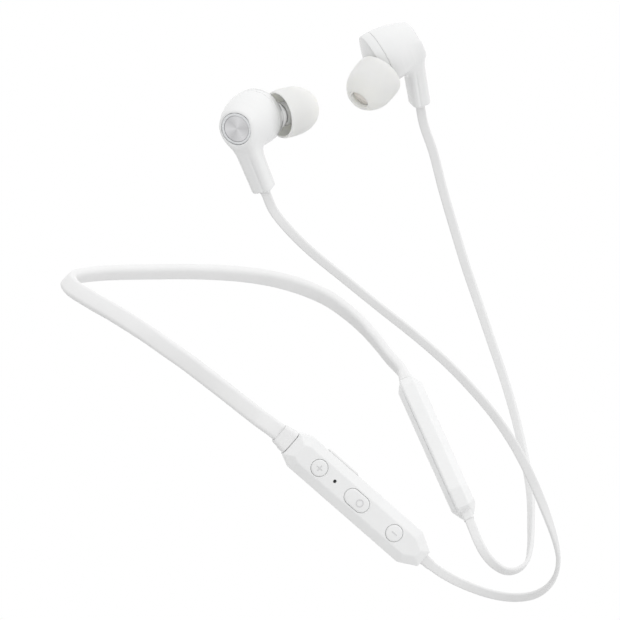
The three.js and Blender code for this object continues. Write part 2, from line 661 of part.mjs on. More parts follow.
// ---- Earpieces ----
function buildBud(prefix, bud) {
  const x = vector(bud.axis).normalize();
  const y = squareTo(vector(bud.side), x);
  const z = x.clone().cross(y);
  const group = new THREE.Group();
  group.quaternion.setFromRotationMatrix(new THREE.Matrix4().makeBasis(x, y, z));
  group.position.copy(vector(bud.at));
  product.add(group);

  const alongX = (geometry) => geometry.rotateY(Math.PI / 2);
  const stem = vector(STEM_DIRECTION).multiply(new THREE.Vector3(1, 1, bud.turn)).normalize();
  const stemDepthWay = squareTo(new THREE.Vector3(1, 0, 0), stem);
  const stemWidthWay = stem.clone().cross(stemDepthWay);
  const stemFrame = new THREE.Matrix4().makeBasis(stemDepthWay, stemWidthWay, stem);
  stemFrame.setPosition(STEM_DEPTH / 2 - CAP_PLANE - STEM_BACK, 0, 0);
  const downStem = (shape, from, to) =>
    new THREE.ExtrudeGeometry(shape, { depth: to - from, bevelEnabled: false, curveSegments: 3 })
      .translate(0, 0, from)
      .applyMatrix4(stemFrame);

  const drumProfile = DRUM_STATIONS.map(([share, inset]) => [DRUM_RADIUS - inset, -CAP_PLANE * share]);
  const drum = alongX(turned([[0, -CAP_PLANE], ...drumProfile, [0, 0]], 28));
  const hollowProfile = drumProfile.slice(1).map(([radius, height]) => [radius - DRUM_WALL, height]);
  const hollowBack = -CAP_PLANE + DRUM_BACK_WALL;
  const hollowBackRadius = DRUM_BACK_RADIUS - DRUM_WALL;
  const hollowFront = DRUM_RADIUS - DRUM_WALL;
  const drumHollow = alongX(
    turned([[0, hollowBack], [hollowBackRadius, hollowBack], ...hollowProfile, [hollowFront, 1], [0, 1]], 28),
  );
  const capRecess = alongX(disc(CAP_RADIUS + 0.15, -CAP_PLANE - 1, -CAP_PLANE + 1.1, 28));
  const stemCorners = (width, height) =>
    roundedRectangle(STEM_DEPTH, width, 1.6)
      .getPoints(3)
      .map(({ x, y }) => new THREE.Vector3(x, y, height).applyMatrix4(stemFrame));
  const stemOuter = new ConvexGeometry([
    ...stemCorners(STEM_ROOT_WIDTH, 0),
    ...stemCorners(STEM_WIDTH, STEM_LENGTH),
  ]);
  const boreSection = roundedRectangle(CORD_THICK + 2 * GAP + 0.6, CORD_WIDTH + 2 * GAP + 0.4, 0.5);
  const stemBore = downStem(boreSection, STEM_BORE_START, STEM_LENGTH + 1);
  const shell = cut(join(drum, stemOuter), drumHollow, stemBore, capRecess);
  add(group, `${prefix}_rear_housing`, shell, white(0.3));

  const ringInner = CAP_RADIUS - CAP_RING_WIDTH;
  const capRing = turned(
    [
      [ringInner, -CAP_PLANE + 0.8],
      [ringInner, -CAP_PLANE + 0.2],
      [ringInner + 0.3, -CAP_PLANE],
      [CAP_RADIUS - 0.15, -CAP_PLANE - 0.05],
      [CAP_RADIUS, -CAP_PLANE + 0.8],
      [ringInner, -CAP_PLANE + 0.8],
    ],
    28,
  );
  add(group, `${prefix}_cap_ring`, alongX(capRing), metal(0x8f9294));
  const discEdge = ringInner - 0.15;
  const capDisc = turned(
    [
      [0, -CAP_PLANE + 0.45],
      [discEdge, -CAP_PLANE + 0.15],
      [discEdge, -CAP_PLANE + 0.8],
      [0, -CAP_PLANE + 0.8],
    ],
    28,
  );
  add(group, `${prefix}_cap_disc`, alongX(capDisc), metal());

  // Driver, inside the drum
  add(group, `${prefix}_driver_frame`, alongX(ring(DRIVER_RADIUS - 1, DRIVER_RADIUS, -3.0, -0.4)), dark());
  add(group, `${prefix}_driver_magnet`, alongX(disc(MAGNET_RADIUS, -5.0, -2.4)), metal());
  const diaphragm = turned([[0, -1.0], [2.2, -1.3], [4.3, -1.3], [4.3, -1.1], [2.2, -1.1], [0, -0.8]]);
  add(group, `${prefix}_driver_diaphragm`, alongX(diaphragm), dark());

  // Nozzle frame: z along the nozzle, origin at the ear tip's centre
  const lean = THREE.MathUtils.degToRad(NOZZLE_ANGLE);
  const nozzle = new THREE.Vector3(Math.cos(lean), Math.sin(lean), 0);
  const across = new THREE.Vector3(0, 0, 1);
  const nozzleFrame = new THREE.Matrix4().makeBasis(across.clone().cross(nozzle), across, nozzle);
  nozzleFrame.setPosition(TIP_CENTRE[0], TIP_CENTRE[1], 0);
  const alongNozzle = (geometry) => geometry.applyMatrix4(nozzleFrame);

  const circle = (radius, height, frame, sides = 24) =>
    Array.from({ length: sides }, (_, i) => {
      const angle = (2 * Math.PI * i) / sides;
      const [x, y] = [radius * Math.cos(angle), radius * Math.sin(angle)];
      return new THREE.Vector3(x, y, height).applyMatrix4(frame);
    });
  const drumFrame = new THREE.Matrix4().makeRotationY(Math.PI / 2);
  const shoulder = TIP_SLEEVE_BACK - GAP;
  const neckRadius = NOZZLE_RADIUS + 0.7;
  const frontOuter = new ConvexGeometry([
    ...circle(DRUM_RADIUS, GAP, drumFrame, 28),
    ...circle(DRUM_RADIUS - 0.1, RIM_LENGTH, drumFrame, 28),
    ...circle(neckRadius, shoulder, nozzleFrame),
  ]);
  const frontHollow = new ConvexGeometry([
    ...circle(DRUM_RADIUS - DRUM_WALL, -1, drumFrame, 28),
    ...circle(DRUM_RADIUS - DRUM_WALL - 0.1, 0.9, drumFrame, 28),
    ...circle(neckRadius - DRUM_WALL, shoulder - 0.8, nozzleFrame),
  ]);
  const nozzleTube = alongNozzle(disc(NOZZLE_RADIUS, shoulder - 1, NOZZLE_REACH));
  const nozzleBore = alongNozzle(disc(NOZZLE_RADIUS - NOZZLE_WALL, shoulder - 1.6, NOZZLE_REACH + 1));
  const front = cut(join(frontOuter, nozzleTube), frontHollow, nozzleBore);
  add(group, `${prefix}_front_housing`, front, white(0.3));
  const meshRadius = NOZZLE_RADIUS - NOZZLE_WALL - 0.1;
  const screen = alongNozzle(disc(meshRadius, NOZZLE_REACH - 0.8, NOZZLE_REACH - 0.5));
  add(group, `${prefix}_nozzle_mesh`, screen, metal());

  const sleeve = TIP_BORE + TIP_SLEEVE_WALL;
  const tip = turned([
    [TIP_BORE, TIP_SLEEVE_BACK],
    [sleeve, TIP_SLEEVE_BACK],
    [sleeve, 3.4],
    [3.8, 3.6],
    [4.75, 2.3],
    [5.3, 0.6],
    [5.45, -1.4],
    [5.2, TIP_BACK + 0.2],
    [5.55, TIP_BACK],
    [5.9, TIP_BACK + 0.7],
    [TIP_RADIUS, -0.6],
    [5.85, 1.6],
    [5.2, 3.5],
    [4.15, 5.0],
    [3.1, TIP_FRONT - 0.1],
    [TIP_BORE, TIP_FRONT],
    [TIP_BORE, TIP_SLEEVE_BACK],
  ]);
  add(group, `${prefix}_ear_tip`, alongNozzle(tip), rubber(0xe2e2dc));

  const grommetSection = roundedRectangle(CORD_THICK + 0.8, CORD_WIDTH + 0.7, 0.6);
  const grommetStart = STEM_LENGTH + GAP;
  const grommet = downStem(grommetSection, grommetStart, grommetStart + GROMMET_LENGTH);
  add(group, `${prefix}_cord_grommet`, grommet, rubber());
}

buildControlCasing();
buildBatteryCasing();
buildBud("right", RIGHT_BUD);
buildBud("left", LEFT_BUD);

const cordSection = new THREE.Shape(ovalSection(CORD_THICK, CORD_WIDTH, 8));
add(product, "right_cord", swept(cordSection, cordCurve(RIGHT_CORD), CORD_STEPS), rubber());
add(product, "left_cord", swept(cordSection, cordCurve(LEFT_CORD), CORD_STEPS), rubber());

export default product;
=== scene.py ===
"""Looks for a pair of white wireless neckband earphones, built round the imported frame.

Cord routes are in metres. Every other length is in millimetres until a mesh is made, in the CAD
part's frame: +X is the way the wearer faces, +Z is up, and the origin is on the band's inner face
at the nape of the neck.
"""

import math

import bmesh
import bpy
import numpy as np
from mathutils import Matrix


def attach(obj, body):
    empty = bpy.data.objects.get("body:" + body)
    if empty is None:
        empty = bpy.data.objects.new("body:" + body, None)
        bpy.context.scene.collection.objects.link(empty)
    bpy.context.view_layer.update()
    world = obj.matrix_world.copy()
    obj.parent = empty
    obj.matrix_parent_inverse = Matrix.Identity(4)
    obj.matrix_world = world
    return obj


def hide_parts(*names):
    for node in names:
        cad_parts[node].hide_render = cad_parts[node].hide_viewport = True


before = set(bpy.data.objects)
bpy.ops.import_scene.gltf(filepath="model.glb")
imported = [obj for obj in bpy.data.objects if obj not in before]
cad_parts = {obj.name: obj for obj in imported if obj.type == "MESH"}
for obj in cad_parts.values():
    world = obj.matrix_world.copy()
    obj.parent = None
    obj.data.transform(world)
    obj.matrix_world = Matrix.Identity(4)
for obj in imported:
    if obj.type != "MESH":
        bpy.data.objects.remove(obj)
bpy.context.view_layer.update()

import openvdb
from mathutils import Matrix, Vector

MM = 0.001
GAP = 0.3  # clearance between pieces that meet

# Degrees: an edge sharper than this stays sharp when its object is shaded smooth.
SHELL_CREASE = 30
CREASE = 35
SMALL_CREASE = 40
FIELD_CREASE = 50
ROUND_CREASE = 60

# ---- Camera: a long lens from the wearer's front right, a little above the band ----
CAMERA_AZIMUTH = 18.0
CAMERA_ELEVATION = 8.5
CAMERA_DISTANCE = 6.5
CAMERA_TARGET = (0.0625, -0.0070, -0.0046)
SENSOR = 36.0
CLIP_START = 1.0
CLIP_END = 20.0
VIEW_WIDTH = 0.1512  # metres across the picture at the target


def make_camera():
    azimuth, elevation = math.radians(CAMERA_AZIMUTH), math.radians(CAMERA_ELEVATION)
    level = math.cos(elevation)
    back = Vector((math.sin(azimuth) * level, -math.cos(azimuth) * level, math.sin(elevation)))
    data = bpy.data.cameras.new("camera")
    data.sensor_width = SENSOR
    data.lens = SENSOR * CAMERA_DISTANCE / VIEW_WIDTH
    data.clip_start, data.clip_end = CLIP_START, CLIP_END
    camera = bpy.data.objects.new("camera", data)
    camera.location = Vector(CAMERA_TARGET) + back * CAMERA_DISTANCE
    camera.rotation_mode = "QUATERNION"
    camera.rotation_quaternion = (-back).to_track_quat("-Z", "Y")
    bpy.context.scene.collection.objects.link(camera)
    bpy.context.scene.camera = camera


make_camera()


# ---- Meshes ----
MERGE = 1e-7  # metres: points closer than this are one
SLIVER = 1e-3  # the least straight side that a rounded rectangle keeps at each corner


def new_object(name, points, faces, crease=CREASE):
    """A mesh object from points in millimetres, with its faces turned outwards."""
    mesh = bpy.data.meshes.new(name)
    mesh.from_pydata((np.asarray(points, float) * MM).tolist(), [], faces)
    tool = bmesh.new()
    tool.from_mesh(mesh)
    bmesh.ops.remove_doubles(tool, verts=tool.verts, dist=MERGE)
    bmesh.ops.recalc_face_normals(tool, faces=tool.faces)
    tool.to_mesh(mesh)
    tool.free()
    mesh.shade_smooth()
    mesh.set_sharp_from_angle(angle=math.radians(crease))
    obj = bpy.data.objects.new(name, mesh)
    bpy.context.scene.collection.objects.link(obj)
    return obj


def loft(rings, ends="capped"):
    """Points and faces through a row of rings, capped at its ends or joined into a loop."""
    rings = np.asarray(rings, float)
    count, sides = rings.shape[:2]
    faces = []
    for i in range(count if ends == "joined" else count - 1):
        a, b = i * sides, (i + 1) % count * sides
        for j in range(sides):
            k = (j + 1) % sides
            faces.append((a + j, a + k, b + k, b + j))
    if ends == "capped":
        faces.append(tuple(reversed(range(sides))))
        faces.append(tuple(range((count - 1) * sides, count * sides)))
    return rings.reshape(-1, 3), faces


def solid(name, rings, matrix, ends="capped", crease=CREASE):
    """An object lofted through rings that are given in a frame."""
    return new_object(name, *loft(moved(matrix, np.array(rings, float)), ends), crease)


def unit(vector):
    vector = np.asarray(vector, float)
    return vector / np.linalg.norm(vector)


def square_to(direction, tangent):
    direction = np.asarray(direction, float)
    return unit(direction - np.dot(direction, tangent) * tangent)


def placed(at, x_axis, near_z):
    """A frame at a point, with its x along one direction and its z near another."""
    x = unit(x_axis)
    z = square_to(near_z, x)
    return basis(x, np.cross(z, x), z, at)


def basis(x, y, z, at=(0, 0, 0)):
    matrix = np.eye(4)
    matrix[:3, 0], matrix[:3, 1], matrix[:3, 2], matrix[:3, 3] = x, y, z, at
    return matrix


def moved(matrix, points):
    points = np.asarray(points, float)
    return points @ matrix[:3, :3].T + matrix[:3, 3]


def shifted(at):
    return basis(*np.eye(3), at)


IDENTITY = np.eye(4)
ALONG_X = basis((0, 1, 0), (0, 0, 1), (1, 0, 0))  # turns a lathe's height along x


def filleted(corners, steps=4, closed=False):
    """A polyline whose corners are rounded: each is a point and how far its rounding reaches."""
    points = [np.array(c[:2], float) for c in corners]
    reach = [c[2] if len(c) > 2 else 0 for c in corners]
    line = []
    for i, point in enumerate(points):
        at_end = not closed and i in (0, len(points) - 1)
        if at_end or reach[i] == 0:
            line.append(point)
            continue
        before = point + unit(points[i - 1] - point) * reach[i]
        after = point + unit(points[(i + 1) % len(points)] - point) * reach[i]
        for s in np.linspace(0, 1, steps + 1):
            line.append((1 - s) ** 2 * before + 2 * s * (1 - s) * point + s * s * after)
    return line


def lathe(profile, matrix, sides, ends="capped", crease=CREASE):
    """A profile of (radius, height) points turned about z, in a frame."""
    angles = np.linspace(0, 2 * np.pi, sides, endpoint=False)
    circle = np.stack([np.cos(angles), np.sin(angles)], 1)
    rings = [np.column_stack([circle * r, np.full(sides, h)]) for r, h in profile]
    return solid("turned", rings, matrix, ends, crease)


def rounded_rectangle(x, y, corner, steps=5):
    """The outline of a rectangle with round corners, centred on the origin."""
    corner = min(corner, x / 2 - SLIVER, y / 2 - SLIVER)
    outline = []
    for quarter, (sx, sy) in enumerate([(1, 1), (-1, 1), (-1, -1), (1, -1)]):
        for angle in np.linspace(0, np.pi / 2, steps + 1) + quarter * np.pi / 2:
            outline.append(
                (
                    sx * (x / 2 - corner) + corner * math.cos(angle),
                    sy * (y / 2 - corner) + corner * math.sin(angle),
                )
            )
    return np.array(outline)


def sleeve(sections, matrix):
    """A closed loop of sections: place along x, width across y, depth in z, and corner."""
    rings = []
    for along, width, depth, corner in sections:
        outline = rounded_rectangle(width, depth, corner)
        rings.append(np.column_stack([np.full(len(outline), along), outline]))
    return solid("sleeve", rings, matrix, "joined", SMALL_CREASE)


def evaluated(obj):
    """Makes what an object's modifiers do its own mesh."""
    bpy.context.view_layer.update()
    graph = bpy.context.evaluated_depsgraph_get()
    mesh = bpy.data.meshes.new_from_object(obj.evaluated_get(graph))
    obj.modifiers.clear()
    obj.data = mesh
    return obj


def combined(obj, tools, operation="DIFFERENCE"):
    for tool in tools:
        modifier = obj.modifiers.new("cut", "BOOLEAN")
        modifier.operation, modifier.solver, modifier.object = operation, "MANIFOLD", tool
    evaluated(obj)
    for tool in tools:
        bpy.data.objects.remove(tool)
    return obj


def smooth_faces(obj, crease=CREASE):
    """Smooth shading that leaves flat faces flat and sharp edges sharp."""
    obj.data.shade_smooth()
    obj.data.set_sharp_from_angle(angle=math.radians(crease))
    modifier = obj.modifiers.new("normals", "WEIGHTED_NORMAL")
    modifier.keep_sharp = True
    return obj


def block(low, high, matrix=IDENTITY):
    """A plain box, as a tool for cutting."""
    (x0, y0, z0), (x1, y1, z1) = low, high
    rings = [[(x0, y0, z), (x1, y0, z), (x1, y1, z), (x0, y1, z)] for z in (z0, z1)]
    return solid("tool", rings, matrix)


def piece(obj, material, node, body="neckband"):
    """Gives a finished object its material, its body and the CAD node it stands for."""
    obj.name = f"{node}_visual"
    obj.data.materials.clear()
    obj.data.materials.append(material)
    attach(obj, body)
    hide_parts(node)


# ---- Materials ----
DRIFT_SCALE = 140  # slow patches of colour in moulded pieces
MOULDED_GLOSS = 0.05  # how far a surface's roughness strays either way
METAL_GLOSS = 0.06
METAL_LINES = 3e-6  # depth of drawn lines, in metres
SPUN_RINGS = 1900
SPUN_DEPTH = 6e-6
SPUN_STRENGTH = 0.5
SPUN_ROUGHNESS = 0.3
SCATTER_COLOUR = (1.0, 1.0, 0.92)
SCATTER_REACH = 0.0025  # metres that light spreads inside translucent rubber


def shader(name, roughness, metallic=0.0, ior=1.45):
    material = bpy.data.materials.new(name)
    material.use_nodes = True
    tree = material.node_tree
    principled = tree.nodes["Principled BSDF"]
    principled.inputs["Roughness"].default_value = roughness
    principled.inputs["Metallic"].default_value = metallic
    principled.inputs["IOR"].default_value = ior
    return material, tree, principled


def noise(tree, scale, detail=2.0, stretch=None):
    coordinates = tree.nodes.new("ShaderNodeTexCoord")
    texture = tree.nodes.new("ShaderNodeTexNoise")
    texture.inputs["Scale"].default_value = scale
    texture.inputs["Detail"].default_value = detail
    source = coordinates.outputs["Object"]
    if stretch:
        mapping = tree.nodes.new("ShaderNodeMapping")
        mapping.inputs["Scale"].default_value = stretch
        tree.links.new(source, mapping.inputs["Vector"])
        source = mapping.outputs["Vector"]
    tree.links.new(source, texture.inputs["Vector"])
    return texture.outputs["Fac"]


def ramp(tree, factor, stops):
    node = tree.nodes.new("ShaderNodeValToRGB")
    elements = node.color_ramp.elements
    while len(elements) < len(stops):
        elements.new(0.5)
    for element, (position, colour) in zip(elements, stops):
        element.position = position
        element.color = (*colour, 1)
    tree.links.new(factor, node.inputs["Fac"])
    return node.outputs["Color"]


def spread(tree, factor, low, high):
    node = tree.nodes.new("ShaderNodeMapRange")
    node.inputs["To Min"].default_value = low
    node.inputs["To Max"].default_value = high
    tree.links.new(factor, node.inputs["Value"])
    return node.outputs["Result"]


def bump(tree, principled, height, distance, strength=0.2):
    node = tree.nodes.new("ShaderNodeBump")
    node.inputs["Distance"].default_value = distance
    node.inputs["Strength"].default_value = strength
    tree.links.new(height, node.inputs["Height"])
    tree.links.new(node.outputs["Normal"], principled.inputs["Normal"])


def gloss(tree, principled, factor, roughness, stray):
    """Links a roughness that strays from its mean by the same amount either way."""
    rough = spread(tree, factor, roughness - stray, roughness + stray)
    tree.links.new(rough, principled.inputs["Roughness"])


def moulded(name, colour, roughness, grain=9000, depth=4e-6, tone=0.012, translucent=0.0):
    """Moulded plastic or rubber: fine grain, slow colour drift, and gloss that varies a little."""
    material, tree, principled = shader(name, roughness)
    colour = np.array(colour)
    drift = noise(tree, DRIFT_SCALE, 3)
    stops = [(0.3, tuple(colour * (1 - tone))), (0.7, tuple(np.minimum(colour * (1 + tone), 1)))]
    tree.links.new(ramp(tree, drift, stops), principled.inputs["Base Color"])
    fine = noise(tree, grain, 2)
    gloss(tree, principled, fine, roughness, MOULDED_GLOSS)
    bump(tree, principled, fine, depth)
    if translucent:
        principled.inputs["Subsurface Weight"].default_value = translucent
        principled.inputs["Subsurface Radius"].default_value = SCATTER_COLOUR
        principled.inputs["Subsurface Scale"].default_value = SCATTER_REACH
    return material


def brushed(name, colour, roughness, stretch=(60, 4000, 4000)):
    """Drawn or stamped metal with fine lines."""
    material, tree, principled = shader(name, roughness, 1.0)
    lines = noise(tree, 1.0, 3, stretch)
    colour = np.array(colour)
    stops = [(0.35, tuple(colour * 0.93)), (0.65, tuple(np.minimum(colour * 1.05, 1)))]
    tree.links.new(ramp(tree, lines, stops), principled.inputs["Base Color"])
    gloss(tree, principled, lines, roughness, METAL_GLOSS)
    bump(tree, principled, lines, METAL_LINES)
    return material


def spun(name, colour):
    """Metal turned on a lathe: fine rings about the piece's own z, and soft wedges of painted
    highlight and painted shade in its colour.
    """
    material, tree, principled = shader(name, SPUN_ROUGHNESS, 1.0)
    coordinates = tree.nodes.new("ShaderNodeTexCoord")
    rings = tree.nodes.new("ShaderNodeTexWave")
    rings.wave_type, rings.rings_direction = "RINGS", "Z"
    rings.inputs["Scale"].default_value = SPUN_RINGS
    rings.inputs["Distortion"].default_value = 0.3
    tree.links.new(coordinates.outputs["Object"], rings.inputs["Vector"])
    turn = tree.nodes.new("ShaderNodeTexGradient")
    turn.gradient_type = "RADIAL"
    tree.links.new(coordinates.outputs["Object"], turn.inputs["Vector"])
    colour = np.array(colour)
    # Painted highlight and painted shade: the wedges of colour stand in for the bright and dull
    # reflections of a spun disc.
    painted_highlight, painted_shade = tuple(np.minimum(colour * 1.14, 1)), tuple(colour * 0.9)
    painted_highlight_wedges = [0.0, 0.14, 0.3, 0.5, 0.66, 0.84, 1.0]
    stops = [(place, painted_shade if k % 2 else painted_highlight) for k, place in enumerate(painted_highlight_wedges)]
    tree.links.new(ramp(tree, turn.outputs["Fac"], stops), principled.inputs["Base Color"])
    gloss(tree, principled, rings.outputs["Fac"], SPUN_ROUGHNESS, METAL_GLOSS)
    bump(tree, principled, rings.outputs["Fac"], SPUN_DEPTH, SPUN_STRENGTH)
    return material


CASING_WHITE = moulded("casing_white", (0.89, 0.893, 0.893), 0.34, 12000, 2e-6)
BUTTON_WHITE = moulded("button_white", (0.89, 0.893, 0.893), 0.4, 12000, 2e-6)
MARK_GREY = moulded("mark_grey", (0.72, 0.72, 0.725), 0.45, 12000, 2e-6)
BUD_WHITE = moulded("bud_white", (0.865, 0.868, 0.868), 0.26, 12000, 1.5e-6)
SOFT_WHITE = moulded("soft_white", (0.87, 0.87, 0.87), 0.55, 7000, 1e-6)
CORD_WHITE = moulded("cord_white", (0.84, 0.84, 0.84), 0.6, 6000, 1.2e-6)
SILICONE = moulded("tip_silicone", (0.885, 0.885, 0.845), 0.5, 5000, 2e-6, 0.01, 0.75)
RING_METAL = brushed("ring_metal", (0.68, 0.69, 0.70), 0.2)
TRIM_METAL = brushed("trim_metal", (0.62, 0.63, 0.64), 0.3)
SPRING_STEEL = brushed("spring_steel", (0.55, 0.55, 0.56), 0.28)
CELL_FOIL = brushed("cell_foil", (0.72, 0.73, 0.75), 0.35, (900, 900, 900))
CAP_METAL = spun("cap_metal", (0.60, 0.60, 0.61))
BOARD_GREEN = moulded("board_green", (0.04, 0.16, 0.09), 0.45, 3000, 6e-6, 0.15)
DARK_PLASTIC = moulded("dark_plastic", (0.03, 0.03, 0.032), 0.5, 5000, 6e-6, 0.2)
SCREEN_METAL = brushed("screen_metal", (0.80, 0.77, 0.73), 0.55, (900, 900, 900))


# ---- Studio ----
LIGHT_LEVEL = 0.93  # the surroundings' mean brightness, where 1 is white
LIGHT_SLOPE = 0.6  # how much brighter they are towards the upper right than below left
LIGHT_FROM = (0.596, -0.217, 0.766)
RIM_LEVEL = 0.5  # a soft light behind the left of the picture
RIM_FROM = (-0.88, 0.38, 0.29)
RIM_FOCUS = 2


def make_world():
    """A soft studio, brighter at the upper right, that is seen and mirrored as plain white."""
    world = bpy.data.worlds.new("studio")
    bpy.context.scene.world = world
    world.use_nodes = True
    tree = world.node_tree
    tree.nodes.clear()
    coordinates = tree.nodes.new("ShaderNodeTexCoord")
    paths = tree.nodes.new("ShaderNodeLightPath")

    def math_node(operation, *values):
        node = tree.nodes.new("ShaderNodeMath")
        node.operation = operation
        for socket, value in zip(node.inputs, values):
            if isinstance(value, (int, float)):
                socket.default_value = value
            else:
                tree.links.new(value, socket)
        return node.outputs["Value"]

    def towards(direction):
        node = tree.nodes.new("ShaderNodeVectorMath")
        node.operation = "DOT_PRODUCT"
        node.inputs[1].default_value = tuple(unit(direction))
        tree.links.new(coordinates.outputs["Generated"], node.inputs[0])
        return node.outputs["Value"]

    slope = math_node("MULTIPLY_ADD", towards(LIGHT_FROM), LIGHT_SLOPE, LIGHT_LEVEL)
    rim = math_node("POWER", math_node("MAXIMUM", towards(RIM_FROM), 0), RIM_FOCUS)
    lit = math_node("MULTIPLY_ADD", rim, RIM_LEVEL, slope)
    glossy, through = paths.outputs["Is Glossy Ray"], paths.outputs["Is Transmission Ray"]
    mirrored = math_node("MAXIMUM", glossy, through)
    plain = math_node("MAXIMUM", paths.outputs["Is Camera Ray"], mirrored)

    seen, lighting = (tree.nodes.new("ShaderNodeBackground") for _ in range(2))
    seen.inputs["Color"].default_value = (1, 1, 1, 1)
    seen.inputs["Strength"].default_value = 1
    tree.links.new(lit, lighting.inputs["Strength"])
    mix = tree.nodes.new("ShaderNodeMixShader")
    tree.links.new(plain, mix.inputs["Fac"])
    tree.links.new(lighting.outputs["Background"], mix.inputs[1])
    tree.links.new(seen.outputs["Background"], mix.inputs[2])
    output = tree.nodes.new("ShaderNodeOutputWorld")
    tree.links.new(mix.outputs["Shader"], output.inputs["Surface"])


FLOOR_DROP = 1200
FLOOR_RADIUS = 700
FLOOR_THICK = 20
FLOOR_SIDES = 96


def make_floor():
    top, bottom = -FLOOR_DROP, -FLOOR_DROP - FLOOR_THICK
    profile = [(0, bottom), (FLOOR_RADIUS, bottom), (FLOOR_RADIUS, top), (0, top)]
    floor = lathe(profile, IDENTITY, FLOOR_SIDES)
    floor.name = "floor"
    material, tree, principled = shader("floor_paint", 0.9)
    stops = [(0.3, (0.93, 0.93, 0.93)), (0.7, (0.95, 0.95, 0.95))]
    tree.links.new(ramp(tree, noise(tree, 2, 2), stops), principled.inputs["Base Color"])
    floor.data.materials.append(material)


make_world()
make_floor()


# ---- Ribbons: a smooth curve whose flat face is aimed at each point ----
class Ribbon:
    """A centripetal Catmull-Rom curve, read by its length from end to end."""

    def __init__(self, points, face_at, samples=5000):
        self.control = np.asarray(points, float)
        self.face_at = face_at
        self.fraction = np.linspace(0, 1, samples)
        self.line = self.at(self.fraction)
        steps = np.linalg.norm(np.diff(self.line, axis=0), axis=1)
        self.travel = np.concatenate([[0], np.cumsum(steps)])
        self.length = self.travel[-1]

    def at(self, fraction):
        known = self.control
        ends = np.vstack([2 * known[0] - known[1], known, 2 * known[-1] - known[-2]])
        place = np.asarray(fraction) * (len(known) - 1)
        low = np.minimum(place.astype(int), len(known) - 2)
        w = (place - low)[:, None]
        p0, p1, p2, p3 = (ends[low + k] for k in range(4))
        pairs = ((p0, p1), (p1, p2), (p2, p3))
        d0, d1, d2 = (np.sqrt(np.linalg.norm(b - a, axis=1))[:, None] for a, b in pairs)
        t1 = ((p1 - p0) / d0 - (p2 - p0) / (d0 + d1) + (p2 - p1) / d1) * d1
        t2 = ((p2 - p1) / d1 - (p3 - p1) / (d1 + d2) + (p3 - p2) / d2) * d1
        c2 = -3 * p1 + 3 * p2 - 2 * t1 - t2
        c3 = 2 * p1 - 2 * p2 + t1 + t2
        return p1 + t1 * w + c2 * w**2 + c3 * w**3

    def frames(self, count, start=0.0, end=1.0):
        """Points, tangents, face directions and widthways directions at even lengths."""
        places = np.linspace(start, end, count) * self.length
        fraction = np.interp(places, self.travel, self.fraction)
        nudge = 0.5 / len(self.fraction)
        before, after = np.maximum(fraction - nudge, 0), np.minimum(fraction + nudge, 1)
        tangents = self.at(after) - self.at(before)
        tangents /= np.linalg.norm(tangents, axis=1)[:, None]
        faces = np.array([self.face_at(f, t) for f, t in zip(fraction, tangents)])
        return self.at(fraction), tangents, faces, np.cross(tangents, faces)

    def rings(self, section_at, count, start=0.0, end=1.0):
        """Rings of a (thickness way, width way) section, which may change along the ribbon."""
        points, _, faces, widths = self.frames(count, start, end)
        rings = []
        for i, place in enumerate(np.linspace(start, end, count)):
            section = section_at(place)
            rings.append(points[i] + section[:, :1] * faces[i] + section[:, 1:] * widths[i])
        return rings


def read_along(values, fraction):
    return float(np.interp(fraction * (len(values) - 1), range(len(values)), values))


def turned_about(vector, axis, degrees):
    angle = math.radians(degrees)
    return vector * math.cos(angle) + np.cross(axis, vector) * math.sin(angle)


# ---- Cords: flat silicone cords from the casings up to the earpieces ----
CORD_WIDTH = 2.3
CORD_THICK = 1.0
CORD_FACE = (0.31, -0.94, 0.15)
CORD_RINGS = 280
CORD_TUCK = 1.6  # how far each end goes on inside the piece that holds it
CORD_CLEAR = 0.06  # how much wider a bore is than the cord in it
FLAT_CORNER = 0.42  # the corner radius of a flat oval, as a share of its thickness
CORD_CORNER = CORD_THICK * FLAT_CORNER

# x, y and z in metres, and the twist of the flat face in degrees
RIGHT_CORD = [
    (0.1013, -0.0305, -0.0624, 0),
    (0.1037, -0.0290, -0.0644, 4),
    (0.1066, -0.0277, -0.0662, 10),
    (0.1102, -0.0267, -0.0678, 16),
    (0.1150, -0.0263, -0.0692, 20),
    (0.1206, -0.0266, -0.0697, 26),
    (0.1262, -0.0278, -0.0687, 40),
    (0.1306, -0.0298, -0.0660, 66),
    (0.1334, -0.0320, -0.0622, 84),
    (0.1346, -0.0342, -0.0580, 84),
    (0.1345, -0.0366, -0.0533, 68),
    (0.1335, -0.0390, -0.0478, 44),
    (0.1320, -0.0414, -0.0420, 20),
    (0.1299, -0.0438, -0.0356, 0),
    (0.1268, -0.0460, -0.0286, -14),
    (0.1228, -0.0480, -0.0219, -22),
    (0.1178, -0.0500, -0.0154, -24),
    (0.1117, -0.0518, -0.0088, -24),
    (0.1042, -0.0532, -0.0023, -24),
    (0.0958, -0.0542, 0.0041, -24),
    (0.0870, -0.0546, 0.0107, -22),
    (0.0780, -0.0544, 0.0173, -16),
    (0.0724, -0.0535, 0.0219, -8),
    (0.0681, -0.0530, 0.0266, 0),
    (0.0667, -0.0544, 0.0308, 0),
]
